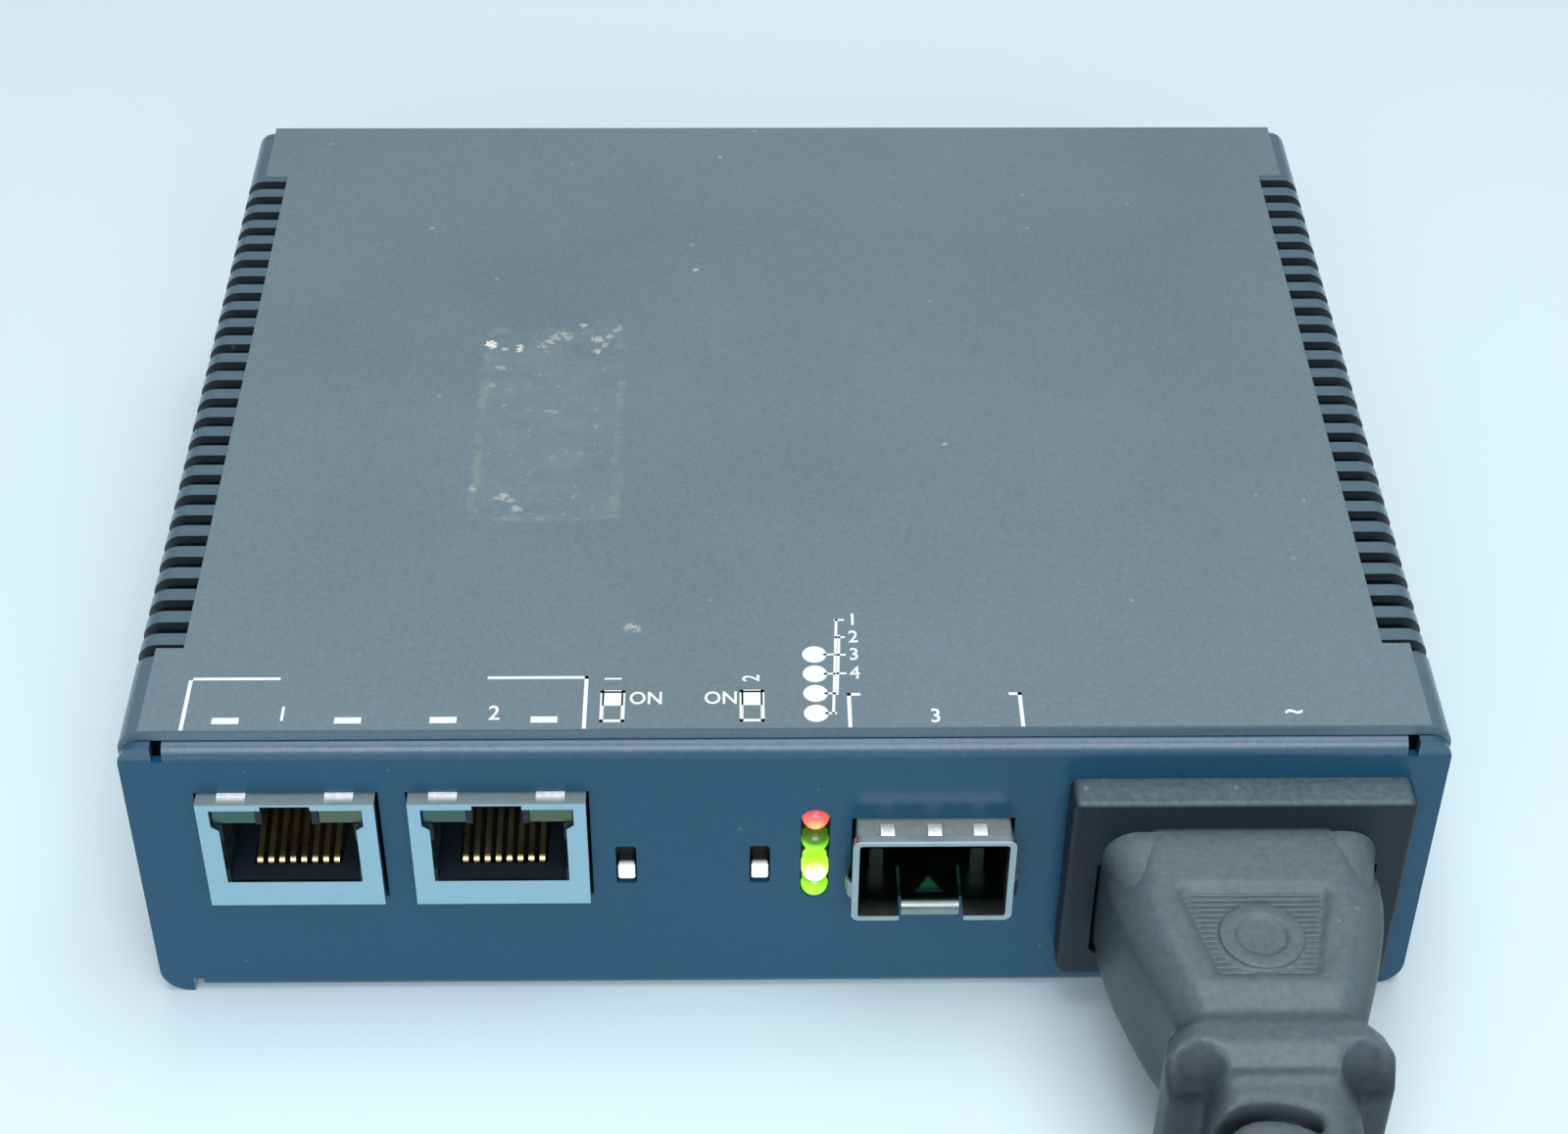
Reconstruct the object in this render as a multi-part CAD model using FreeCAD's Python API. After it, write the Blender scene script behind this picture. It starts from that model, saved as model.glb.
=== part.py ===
import FreeCAD, Part
import math
import os
from FreeCAD import Vector as V

# Fibre media converter: a folded steel case with two copper ports, two slide switches, a stack
# of four lamps, a pluggable optical port and a mains inlet, its mains cord plugged in.
# Millimetres. +X is to the right, +Y to the back, +Z up. The origin is the centre of the
# case's underside, on the surface that it stands on.

# Case
CASE_W = 119.5          # over the cover's two sides
CASE_D = 101.8          # over the front and back panels
CASE_H = 33.4           # up to the cover's top face
SHEET = 0.9             # steel sheet of base and cover
SEAM = 0.1              # between two sheets that lie together
COVER_BEND = 2.0        # outer bend radius of the cover
BASE_BEND = 1.5         # outer bend radius of the base
COVER_LIFT = 0.4        # the cover's lower edges stay above the standing surface
EAR_W = 3.05            # panel ears that cover the ends of the cover's sides
NOTCH_W = 0.95          # bend relief beside each ear
EAR_LOW_R = 2.8         # lower corners of the ears
FLANGE = 8.0            # top flanges of the panels, under the cover
SIDE_FLANGE_H = 12.0    # upright side flanges of the base
SIDE_FLANGE_RELIEF = 2.4
SIDE_SCREW_Z = 6.5
SIDE_SCREW_INSET = 22.9 # of the side screws from the front and the back
SIDE_SCREW_L = 4.5

# Vent slots over both top bends
SLOT_MARGIN = 11.8      # least distance of a slot's middle from the front and the back
SLOT_PITCH = 3.12
SLOT_W = 1.5
SLOT_REACH = 2.45       # onto the flat top and down the side, each from the bend

# Printed label over the flat top
LABEL_T = 0.2
LABEL_INSET = 0.12
LABEL_OVER_SLOT = 0.85  # of the first slot that the film's front corner covers
LABEL_PAST_SLOT = 0.75  # clear of the last slot
LABEL_VENT_GAP = 0.1

# Main board
BOARD_TOP = 12.9
BOARD_T = 1.6
BOARD_GAP = 0.6         # behind the front panel
BOARD_SIDE_GAP = 1.85   # from the left side flange
BOARD_BACK_GAP = 6.9    # from the back panel's outer face
BOARD_TO_SUPPLY = 2.5
BOARD_HOLE_INSET = 4.5
BOARD_SIDE_HOLE = 39.4  # behind the front panel's outer face, as is the next one
BOARD_FRONT_HOLE = 12.9
STANDOFF_R = 2.75
STANDOFF_SHANK_R = 2.25 # pressed through the floor
SCREW_R = 1.5           # M3
SCREW_HEAD_R = 2.75
SCREW_HEAD_H = 1.9
BOARD_SCREW_L = 5.0     # under the head
SUPPLY_SCREW_L = 4.0
THREAD_DEPTH = 4.5      # in a standoff
SCREW_SLACK = 0.15      # between a screw and its clearance hole
THREAD_SLACK = 0.03     # between a screw and its thread

# Copper ports
JACK_W = 16.1
JACK_H = 13.2
JACK_D = 21.3
JACK_LIFT = 0.5         # of the shield over the board
JACK_PROUD = 1.3
JACK_SKIN = 0.3         # plated shield
JACK_BORE_W = 11.9
JACK_FLOOR = 3.1        # height of the plug bore's floor over the board
JACK_CEILING = 10.35
JACK_BORE_D = 13.5
JACK_LATCH_W = 4.5
JACK_LATCH_TOP = 12.5
JACK_LENS_IN = 2.9      # edges of each lens from the port's middle
JACK_LENS_OUT = 6.75
JACK_LENS_TOP = 12.45
JACK_LENS_D = 4.8
JACK_LENS_SLACK = 0.05
JACK_SPRING_X = 4.85    # centre of each spring finger on the shield's top
JACK_SPRING_W = 2.6
CONTACT_COUNT = 8
CONTACT_PITCH = 1.016
CONTACT_W = 0.5
CONTACT_T = 0.3
CONTACT_SLOPE = 15.0    # degrees
CONTACT_DROP = 1.4      # of the wires' feet below the plug bore's floor
CONTACT_SET_BACK = 2.45 # of the wires' fronts behind the port's face
CONTACT_RUN = 8.6
PORT_GAP = 0.25         # around each port in the panel

# Slide switches
SWITCH_Z = 17.15        # middle of the slot
SWITCH_SLOT_W = 1.9
SWITCH_SLOT_H = 4.9
KNOB_W = 1.56
KNOB_H = 1.9
KNOB_TRAVEL = 2.0
KNOB_RECESS = 0.15      # of the knob's tip behind the panel's face
CARRIER_W = 3.0
CARRIER_H = 3.0
CARRIER_D = 2.0
CARRIER_SLACK = 0.06
SWITCH_BODY_W = 4.6
SWITCH_BODY_D = 5.2
SWITCH_WALL = 0.7
SWITCH_GAP = 0.3        # behind the panel

# Stack of lamps
LAMPS_Z = 18.45
LAMP_COUNT = 4
LAMP_PITCH = 2.94
LAMP_R = 1.15
LAMP_SLOT_W = 2.7
LAMP_SLOT_H = 11.6
LAMP_HOLDER_W = 4.2
LAMP_HOLDER_D = 6.5
LAMP_HOLDER_GAP = 0.4   # behind the panel
LAMP_L = 4.9
LAMP_RECESS = 0.1       # of the lamps' tips behind the panel's face
LAMP_SLACK = 0.05

# Optical port
SFP_W = 14.4
SFP_H = 10.0
SFP_PROUD = 3.0
SFP_LENGTH = 48.5
SFP_WALL = 0.35
SFP_TONGUE_W = 5.4
SFP_TONGUE_GAP = 0.3
SFP_TONGUE_BACK = 1.4   # of the tongue's curl behind the cage's front edge
SFP_FINGER_W = 1.25
SFP_FINGERS_X = (-4.3, 0.0, 4.15)
SFP_POSTS_X = (-4.9, 4.6)
SFP_POST_H = 2.6
EDGE_SOCKET_W = 11.4    # the connector at the back of the cage
EDGE_SOCKET_H = 5.2
EDGE_SOCKET_D = 7.5

# Mains inlet
INLET_Z = 16.65
INLET_W = 31.1
INLET_H = 22.9
INLET_PROUD = 3.3
INLET_R = 1.0
INLET_BODY_W = 27.2
INLET_BODY_H = 19.8
INLET_BODY_D = 17.0     # behind the panel
INLET_BORE_W = 25.6
INLET_BORE_H = 16.7
INLET_BORE_D = 16.3
INLET_CHAMFER = 4.9
PIN_PITCH = 14.0
PIN_W = 2.0
PIN_H = 4.0
PIN_LENGTH = 15.5
EARTH_RISE = 2.0        # earth pin over the inlet's axis, the other two are as far below
PANEL_SLACK = 0.15
TAG_L = 6.5             # solder tags behind the inlet

# Mains connector on the cord
PLUG_SLACK = 0.35
NOSE_GAP = 0.8          # before the inlet's back wall
GRIP_REACH = (3.0, 6.0, 9.0, 12.0, 14.8, 17.2, 19.0, 20.4)      # stations outwards from the inlet's face
GRIP_HALF_W = (12.5, 12.25, 11.7, 10.9, 10.05, 9.2, 8.55, 8.2)
GRIP_HALF_H = (7.9, 7.75, 7.7, 7.65, 7.65, 7.65, 7.3, 7.0)
GRIP_CHAMFER = (3.8, 3.2, 2.9, 2.7, 2.6, 2.5, 2.3, 2.2)
GRIP_EDGE_R = 1.2
PANEL_START = 6.4       # sunken panel on the grip's top, outwards from the inlet's face
PANEL_END = 16.6
PANEL_HALF_START = 6.9
PANEL_HALF_END = 4.4
PANEL_DEPTH = 0.6
DISC_R = 3.7
DISH_R = 2.7
COLLAR_HALF_W = 9.85
COLLAR_HALF_H = 8.3
COLLAR_FRONT = 26.8
SCOOP_R = 4.3
RELIEF_END = 59.0
RELIEF_HALF_WIDE = 6.5
RELIEF_HALF_THIN = 4.9
RELIEF_SLOTS = 6
RELIEF_SLOT_W = 1.7
RELIEF_SLOT_PITCH = 4.6
CONTACT_WALL = 0.5

# Cord
CORD_D = 7.0
COIL_X = -11.8
COIL_Y = -176.0
COIL_IN = 21.5          # inside and outside radius of the lower layer of turns
COIL_OUT = 56.5
COIL_TOP_IN = 23.2      # the same for the upper layer, which lies on it
COIL_TOP_OUT = 50.5
COIL_H = 14.0

# Wall plug
WALL_W = 25.0
WALL_H = 22.0
WALL_L = 27.0
WALL_RELIEF_L = 18.0
WALL_RELIEF_HALF = 4.9
BLADE_W = 6.35
BLADE_T = 1.5
BLADE_L = 17.0
BLADE_PITCH = 12.7
GROUND_R = 2.4
GROUND_L = 20.0
GROUND_RISE = 11.9

# Power supply
SUPPLY_W = 27.0
SUPPLY_SHIFT = 1.2      # of its middle, left of the inlet's
SUPPLY_BACK_GAP = 5.9   # from the back panel's outer face
SUPPLY_UNDER_TAGS = 1.6 # the board's front edge before the ends of the inlet's tags
SUPPLY_TOP = 7.0
SUPPLY_HOLE_INSET = 3.6
TRANSFORMER = (0.463, 0.554)    # its middle, as shares of the board's width and length
FUSE_L = 21.0
SINK_T = 1.2
SINK_L = 34.0
SINK_H = 18.0

# Parts on the main board
CHIP_SIDE = 14.0
CHIP_H = 1.4
CHIP_BACK = 43.9        # its middle behind the front panel's outer face
CHIP_SINK_SIDE = 15.0
CHIP_SINK_H = 8.0
CHIP_SINK_GROOVES = 5
BOARD_CANS_X = 12.0     # of the small cans from the board's left edge
BOARD_CANS_Y = (56.9, 66.9, 76.9)   # and behind the front panel's outer face
BOARD_CAN_R = 3.15
BOARD_CAN_H = 7.5
PORT_COIL_W = 14.0      # isolating transformer pack behind each copper port
PORT_COIL_D = 9.0
PORT_COIL_H = 5.2
PORT_COIL_GAP = 4.9

# Share of the panel's free width before each thing on it, from the left, and after the last
FRONT_SPACES = (6.475, 2.95, 1.075, 7.75, 0.7, 1.5, 4.95, 3.0)

FRONT = -CASE_D / 2
BACK = CASE_D / 2
PANEL_HALF = CASE_W / 2 - EAR_W - NOTCH_W
FLANGE_TOP = CASE_H - SHEET - SEAM
INNER_HALF = CASE_W / 2 - SHEET - SEAM
COVER_FRONT = FRONT + SHEET + SEAM
COVER_BACK = BACK - SHEET - SEAM
SLOT_COUNT = int((CASE_D - 2 * SLOT_MARGIN) / SLOT_PITCH) + 1
SLOTS_HALF = ((SLOT_COUNT - 1) * SLOT_PITCH + SLOT_W) / 2
JACK_LOW = BOARD_TOP + JACK_LIFT
JACK_FACE = FRONT - JACK_PROUD
SFP_FACE = FRONT - SFP_PROUD
INLET_FACE = FRONT - INLET_PROUD
NOSE_BACK = INLET_FACE + INLET_BORE_D - NOSE_GAP
TAG_END = FRONT + INLET_BODY_D + TAG_L
SIDES = (("left", -1), ("right", 1))
CROSS = ((3.0, 0.55), (0.55, 3.0))      # the two bars of a screw's cross recess


def front_places():
    """Middle of each thing on the front panel, spread over its free width."""
    widths = (JACK_W, JACK_W, SWITCH_BODY_W, SWITCH_BODY_W, LAMP_HOLDER_W, SFP_W, INLET_W)
    share = (CASE_W - sum(widths)) / sum(FRONT_SPACES)
    places, edge = [], -CASE_W / 2
    for width, space in zip(widths, FRONT_SPACES):
        places.append(edge + space * share + width / 2)
        edge = places[-1] + width / 2
    return places


JACK_LEFT, JACK_RIGHT, SWITCH_LEFT, SWITCH_RIGHT, LAMPS_X, SFP_X, INLET_X = front_places()
JACKS_X = (JACK_LEFT, JACK_RIGHT)
SWITCHES_X = (SWITCH_LEFT, SWITCH_RIGHT)

SUPPLY_LEFT = INLET_X - SUPPLY_SHIFT - SUPPLY_W / 2
SUPPLY_RIGHT = SUPPLY_LEFT + SUPPLY_W
SUPPLY_FRONT = TAG_END - SUPPLY_UNDER_TAGS
SUPPLY_BACK = BACK - SUPPLY_BACK_GAP
BOARD_LEFT = -(INNER_HALF - SHEET - BOARD_SIDE_GAP)
BOARD_RIGHT = SUPPLY_LEFT - BOARD_TO_SUPPLY
BOARD_FRONT = FRONT + SHEET + BOARD_GAP
BOARD_BACK = BACK - BOARD_BACK_GAP
BOARD_LOW = BOARD_TOP - BOARD_T
BOARD_HOLES = (
    (BOARD_LEFT + BOARD_HOLE_INSET, FRONT + BOARD_SIDE_HOLE),
    ((SWITCH_LEFT + SWITCH_RIGHT) / 2, FRONT + BOARD_FRONT_HOLE),
    (BOARD_LEFT + BOARD_HOLE_INSET, BOARD_BACK - BOARD_HOLE_INSET),
    (BOARD_RIGHT - BOARD_HOLE_INSET, BOARD_BACK - BOARD_HOLE_INSET))
SUPPLY_HOLES = (
    (SUPPLY_LEFT + SUPPLY_HOLE_INSET, SUPPLY_FRONT + SUPPLY_HOLE_INSET),
    (SUPPLY_RIGHT - SUPPLY_HOLE_INSET, SUPPLY_FRONT + 2 * SUPPLY_HOLE_INSET),
    (SUPPLY_LEFT + SUPPLY_HOLE_INSET, SUPPLY_BACK - SUPPLY_HOLE_INSET),
    (SUPPLY_RIGHT - SUPPLY_HOLE_INSET, SUPPLY_BACK - SUPPLY_HOLE_INSET))
CHIP_X = (BOARD_LEFT + BOARD_RIGHT) / 2
CHIP_Y = FRONT + CHIP_BACK

# Cord, laid on the surface in front of the case
LEAD_ROUTE = (
    V(41.2, -113.2, 16.65), V(41.2, -125.7, 16.65), V(41.15, -139.5, 13.4),
    V(41.15, -153.5, 7.2), V(41.2, -167.0, 4.2))
TAIL_ROUTE = (
    V(34.2, -188.5, 10.5), V(34.1, -204.0, 10.5), V(28.0, -218.8, 10.2),
    V(16.7, -230.1, 10.4), V(1.9, -236.2, 11.0))


def box(x0, x1, y0, y1, z0, z1):
    return Part.makeBox(x1 - x0, y1 - y0, z1 - z0, V(x0, y0, z0))


def rod(radius, start, end):
    along = end - start
    return Part.makeCylinder(radius, along.Length, start, along)


def outline(points, radii):
    """A closed wire through the points, with each corner rounded by its radius."""
    if not hasattr(radii, "__len__"):
        radii = [radii] * len(points)
    corners = []
    for i, corner in enumerate(points):
        if radii[i] <= 0:
            corners.append((corner, None, corner))
            continue
        back = (points[i - 1] - corner).normalize()
        ahead = (points[(i + 1) % len(points)] - corner).normalize()
        half = back.getAngle(ahead) / 2
        reach = radii[i] / math.tan(half)
        centre = corner + (back + ahead).normalize() * (radii[i] / math.sin(half))
        middle = centre + (corner - centre).normalize() * radii[i]
        corners.append((corner + back * reach, middle, corner + ahead * reach))
    edges = []
    for i, (start, middle, end) in enumerate(corners):
        last = corners[i - 1][2]
        if (start - last).Length > 1e-6:
            edges.append(Part.makeLine(last, start))
        if middle is not None:
            edges.append(Part.Arc(start, middle, end).toShape())
    return Part.Wire(edges)


def prism(points, radii, along):
    return Part.Face(outline(points, radii)).extrude(along)


def upright(x, z, width, height):
    """Corners of a rectangle in the plane of the front panel."""
    w, h = width / 2, height / 2
    return [V(x - w, 0, z - h), V(x + w, 0, z - h), V(x + w, 0, z + h), V(x - w, 0, z + h)]


def slab(x, z, width, height, radius, y0, y1):
    """A plate with rounded corners that faces the front, from y0 to y1."""
    plate = prism(upright(x, z, width, height), radius, V(0, y1 - y0, 0))
    plate.translate(V(0, y0, 0))
    return plate


def folded(path, thickness, bend, along):
    """Sheet folded along an open path, extruded along a vector.

    The sheet lies to the left of the path, seen with the vector pointing at the viewer.
    """
    normal = V(along).normalize()
    inner, near, far = [], [], []
    for i, corner in enumerate(path):
        before = (corner - path[i - 1]).normalize() if i else None
        after = (path[i + 1] - corner).normalize() if i + 1 < len(path) else None
        if before is None or after is None:
            shift = normal.cross(before or after)
            near.append(0)
            far.append(0)
        else:
            side_a, side_b = normal.cross(before), normal.cross(after)
            shift = (side_a + side_b) * (1 / (1 + side_a.dot(side_b)))
            outside = before.cross(after).dot(normal) > 0
            near.append(bend if outside else bend - thickness)
            far.append(bend - thickness if outside else bend)
        inner.append(corner + shift * thickness)
    return prism(path + inner[::-1], near + far[::-1], along)


def mirrored(shape):
    return shape.mirror(V(0, 0, 0), V(1, 0, 0))


def joined(shapes):
    first, *rest = shapes
    return first.fuse(rest).removeSplitter() if rest else first


def group(shapes):
    return Part.makeCompound(shapes)


def loft(sections):
    """A solid with straight runs from each closed outline to the next."""
    return Part.makeLoft(sections, True, True)


def span(first, second):
    """Two values in rising order."""
    return min(first, second), max(first, second)


def bent_wire(points, radii):
    """An open path of straight runs joined by tangent arcs at its inner points."""
    edges, last = [], points[0]
    for i in range(1, len(points) - 1):
        back = (points[i - 1] - points[i]).normalize()
        ahead = (points[i + 1] - points[i]).normalize()
        half = back.getAngle(ahead) / 2
        reach = radii[i - 1] / math.tan(half)
        centre = points[i] + (back + ahead).normalize() * (radii[i - 1] / math.sin(half))
        middle = centre + (points[i] - centre).normalize() * radii[i - 1]
        start, end = points[i] + back * reach, points[i] + ahead * reach
        edges.append(Part.makeLine(last, start))
        edges.append(Part.Arc(start, middle, end).toShape())
        last = end
    edges.append(Part.makeLine(last, points[-1]))
    return Part.Wire(edges)


def tube(points, radii, diameter):
    path = bent_wire(points, radii)
    ring = Part.Wire(Part.makeCircle(diameter / 2, points[0], points[1] - points[0]))
    return path.makePipeShell([ring], True, False), path.Length


# ---------------------------------------------------------------- case

def panel(face_y, back_y):
    """A full-width panel with rounded ears, open where the folded base has its bends."""
    half, low, high = CASE_W / 2, 0, CASE_H - SHEET
    corners = [V(-half, face_y, low), V(half, face_y, low), V(half, face_y, high), V(-half, face_y, high)]
    plate = prism(corners, [EAR_LOW_R, EAR_LOW_R, COVER_BEND, COVER_BEND], V(0, back_y - face_y, 0))
    y0, y1 = min(face_y, back_y) - 1, max(face_y, back_y) + 1
    inner = PANEL_HALF + NOTCH_W
    above = box(-inner, inner, y0, y1, FLANGE_TOP - BASE_BEND - 0.2, CASE_H)
    below = box(-inner, inner, y0, y1, -1, BASE_BEND + 0.2)
    return plate.cut([above, below])


def port_cutters():
    """Everything that is cut out of the front panel."""
    y0, y1 = FRONT - 1, FRONT + SHEET + 1
    jack_mid, sfp_mid = JACK_LOW + JACK_H / 2, BOARD_TOP + SFP_H / 2
    cutters = [slab(x, jack_mid, JACK_W + 2 * PORT_GAP, JACK_H + 2 * PORT_GAP, 0, y0, y1) for x in JACKS_X]
    cutters += [slab(x, SWITCH_Z, SWITCH_SLOT_W, SWITCH_SLOT_H, 0.3, y0, y1) for x in SWITCHES_X]
    cutters.append(slab(LAMPS_X, LAMPS_Z, LAMP_SLOT_W, LAMP_SLOT_H, LAMP_SLOT_W / 2 - 0.01, y0, y1))
    cutters.append(slab(SFP_X, sfp_mid, SFP_W + 2 * PORT_GAP, SFP_H + 2 * PORT_GAP, 0, y0, y1))
    body_w, body_h = INLET_BODY_W + 2 * PANEL_SLACK, INLET_BODY_H + 2 * PANEL_SLACK
    cutters.append(slab(INLET_X, INLET_Z, body_w, body_h, 1.0, y0, y1))
    return cutters


def side_screw_spots():
    reach = CASE_D / 2 - SIDE_SCREW_INSET
    return [(side, y) for _, side in SIDES for y in (-reach, reach)]


def make_chassis_base():
    half = PANEL_HALF
    path = [
        V(-half, FRONT + FLANGE, FLANGE_TOP), V(-half, FRONT, FLANGE_TOP), V(-half, FRONT, 0),
        V(-half, BACK, 0), V(-half, BACK, FLANGE_TOP), V(-half, BACK - FLANGE, FLANGE_TOP)]
    tray = folded(path, SHEET, BASE_BEND, V(2 * half, 0, 0))
    y0, y1 = FRONT + SIDE_FLANGE_RELIEF, BACK - SIDE_FLANGE_RELIEF
    side_path = [V(-half + 5, y0, 0), V(-INNER_HALF, y0, 0), V(-INNER_HALF, y0, SIDE_FLANGE_H)]
    side = folded(side_path, SHEET, BASE_BEND, V(0, y1 - y0, 0))
    panels = [panel(FRONT, FRONT + SHEET), panel(BACK, BACK - SHEET)]
    base = joined([tray, side, mirrored(side)] + panels)
    holes = port_cutters()
    for x, y in BOARD_HOLES + SUPPLY_HOLES:
        holes.append(rod(STANDOFF_SHANK_R, V(x, y, -1), V(x, y, SHEET + 1)))
    for side, y in side_screw_spots():
        face = V(side * CASE_W / 2, y, SIDE_SCREW_Z)
        holes.append(rod(SCREW_R + THREAD_SLACK, face, face - V(side * 6, 0, 0)))
        holes.append(screw_cone(side, y, THREAD_SLACK))
    return base.cut(holes)


def screw_cone(side, y, slack):
    """The cone of a countersunk head whose face is flush with the cover's side."""
    depth = SCREW_HEAD_R - SCREW_R
    return Part.makeCone(
        SCREW_HEAD_R + slack, SCREW_R + slack, depth,
        V(side * CASE_W / 2, y, SIDE_SCREW_Z), V(-side, 0, 0))


def make_top_cover():
    half = CASE_W / 2
    path = [
        V(-half, COVER_FRONT, COVER_LIFT), V(-half, COVER_FRONT, CASE_H),
        V(half, COVER_FRONT, CASE_H), V(half, COVER_FRONT, COVER_LIFT)]
    shell = folded(path, SHEET, COVER_BEND, V(0, COVER_BACK - COVER_FRONT, 0))
    flat = half - COVER_BEND
    lip = box(-flat, flat, COVER_BACK - 1, BACK, CASE_H - SHEET, CASE_H)
    cover = joined([shell, lip])
    cutters = []
    for side in (-1, 1):
        x0, x1 = span(side * (flat - SLOT_REACH), side * (half + 1))
        for i in range(SLOT_COUNT):
            y = (i - (SLOT_COUNT - 1) / 2) * SLOT_PITCH
            z0 = CASE_H - COVER_BEND - SLOT_REACH
            cutters.append(box(x0, x1, y - SLOT_W / 2, y + SLOT_W / 2, z0, CASE_H + 1))
    for side, y in side_screw_spots():
        cutters.append(screw_cone(side, y, SCREW_SLACK))
    return cover.cut(cutters)


def make_top_label():
    wide = CASE_W / 2 - COVER_BEND
    narrow = wide - SLOT_REACH - LABEL_VENT_GAP
    y0, y1 = COVER_FRONT + LABEL_INSET, BACK - LABEL_INSET
    vent0, vent1 = LABEL_OVER_SLOT - SLOTS_HALF, SLOTS_HALF + LABEL_PAST_SLOT
    z = CASE_H
    right = [
        V(wide, y0, z), V(wide, vent0, z), V(narrow, vent0, z),
        V(narrow, vent1, z), V(wide, vent1, z), V(wide, y1, z)]
    left = [V(-p.x, p.y, p.z) for p in reversed(right)]
    return prism(right + left, 0, V(0, 0, LABEL_T))


def make_cover_screws():
    screws = []
    for side, y in side_screw_spots():
        face, inwards = V(side * CASE_W / 2, y, SIDE_SCREW_Z), V(-side, 0, 0)
        screw = screw_cone(side, y, 0).fuse(rod(SCREW_R, face + inwards, face + inwards * SIDE_SCREW_L))
        x0, x1 = span(face.x, face.x - side * 0.8)
        for wide, high in CROSS:
            screw = screw.cut(box(x0, x1, y - wide / 2, y + wide / 2, face.z - high / 2, face.z + high / 2))
        screws.append(screw)
    return group(screws)


# ---------------------------------------------------------------- boards and their fixings

def standoffs(spots, top):
    """Round spacers pressed through the floor, threaded from above."""
    pieces = []
    for x, y in spots:
        body = rod(STANDOFF_R, V(x, y, SHEET), V(x, y, top))
        shank = rod(STANDOFF_SHANK_R - THREAD_SLACK, V(x, y, 0.1), V(x, y, SHEET))
        bore = rod(SCREW_R + THREAD_SLACK, V(x, y, top - THREAD_DEPTH), V(x, y, top + 1))
        pieces.append(body.fuse(shank).cut(bore))
    return group(pieces)


def pan_screws(spots, z, length):
    """Pan-head screws with a cross recess, driven downwards from z."""
    screws = []
    edge = 0.6
    for x, y in spots:
        rim = rod(SCREW_HEAD_R, V(x, y, z), V(x, y, z + SCREW_HEAD_H - edge))
        crown = Part.makeCone(SCREW_HEAD_R, SCREW_HEAD_R - edge, edge, V(x, y, z + SCREW_HEAD_H - edge))
        screw = joined([rim, crown, rod(SCREW_R, V(x, y, z - length), V(x, y, z))])
        for wide, deep in CROSS:
            screw = screw.cut(box(x - wide / 2, x + wide / 2, y - deep / 2, y + deep / 2, z + 1.0, z + 3))
        screws.append(screw)
    return group(screws)


def circuit_board(x0, x1, y0, y1, top, spots):
    board = box(x0, x1, y0, y1, top - BOARD_T, top)
    holes = [rod(SCREW_R + SCREW_SLACK, V(x, y, top - 3), V(x, y, top + 1)) for x, y in spots]
    return board.cut(holes)


# ---------------------------------------------------------------- copper ports

def lens_edges(x, side, slack=0.0):
    """Left and right edge of the lens on one side of a port."""
    return span(x + side * (JACK_LENS_IN - slack), x + side * (JACK_LENS_OUT + slack))


def shield_springs(x):
    """Bowed fingers that press on the panel's edge, and hooked tabs inside the window."""
    springs = []
    top, lift = JACK_LOW + JACK_H - 0.02, JACK_LOW + JACK_H + PORT_GAP - 0.04
    tab_low, tab_h, tab_t = JACK_LOW + 4.6, 3.4, 0.2
    for side in (-1, 1):
        left = x + side * JACK_SPRING_X - JACK_SPRING_W / 2
        profile = ((0.15, top), (1.1, lift), (4.5, lift), (6.5, top))
        path = [V(left, JACK_FACE + reach, z) for reach, z in profile]
        springs.append(folded(path, -JACK_SKIN, JACK_SKIN + 0.3, V(JACK_SPRING_W, 0, 0)))
        root, tip = x + side * (JACK_BORE_W / 2 + 0.4), x + side * (JACK_BORE_W / 2 - 0.2)
        near, far, skin = JACK_FACE + 0.1, JACK_FACE + 3.4, side * tab_t
        tab = [V(root, near, tab_low), V(tip, far, tab_low),
               V(tip + skin, far, tab_low), V(root + skin, near, tab_low)]
        springs.append(prism(tab, 0, V(0, 0, tab_h)))
    return springs


def make_jack_shield(x):
    """A folded shield: open below and behind, with a framed window in its face."""
    y0, y1 = JACK_FACE, JACK_FACE + JACK_D
    z0, z1 = JACK_LOW, JACK_LOW + JACK_H
    half, inside = JACK_W / 2, JACK_W / 2 - JACK_SKIN
    shell = box(x - half, x + half, y0, y1, z0, z1)
    hollow = box(x - inside, x + inside, y0 + JACK_SKIN, y1 + 1, z0 - 1, z1 - JACK_SKIN)
    narrow, wide, notch = JACK_BORE_W / 2 + 0.25, JACK_LENS_OUT + 0.15, JACK_LATCH_W / 2
    low, step, lens_top = z0 + JACK_FLOOR, z0 + JACK_CEILING, z0 + JACK_LENS_TOP - 0.05
    right = [
        V(x + narrow, y0, low), V(x + narrow, y0, step - 0.5), V(x + wide, y0, step),
        V(x + wide, y0, lens_top), V(x + notch, y0, lens_top), V(x + notch, y0, z1 - JACK_SKIN)]
    left = [V(2 * x - p.x, p.y, p.z) for p in reversed(right)]
    window = prism(right + left, 0, V(0, JACK_SKIN + 0.5, 0))
    window.translate(V(0, -0.2, 0))
    return joined([shell.cut([hollow, window])] + shield_springs(x))


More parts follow.
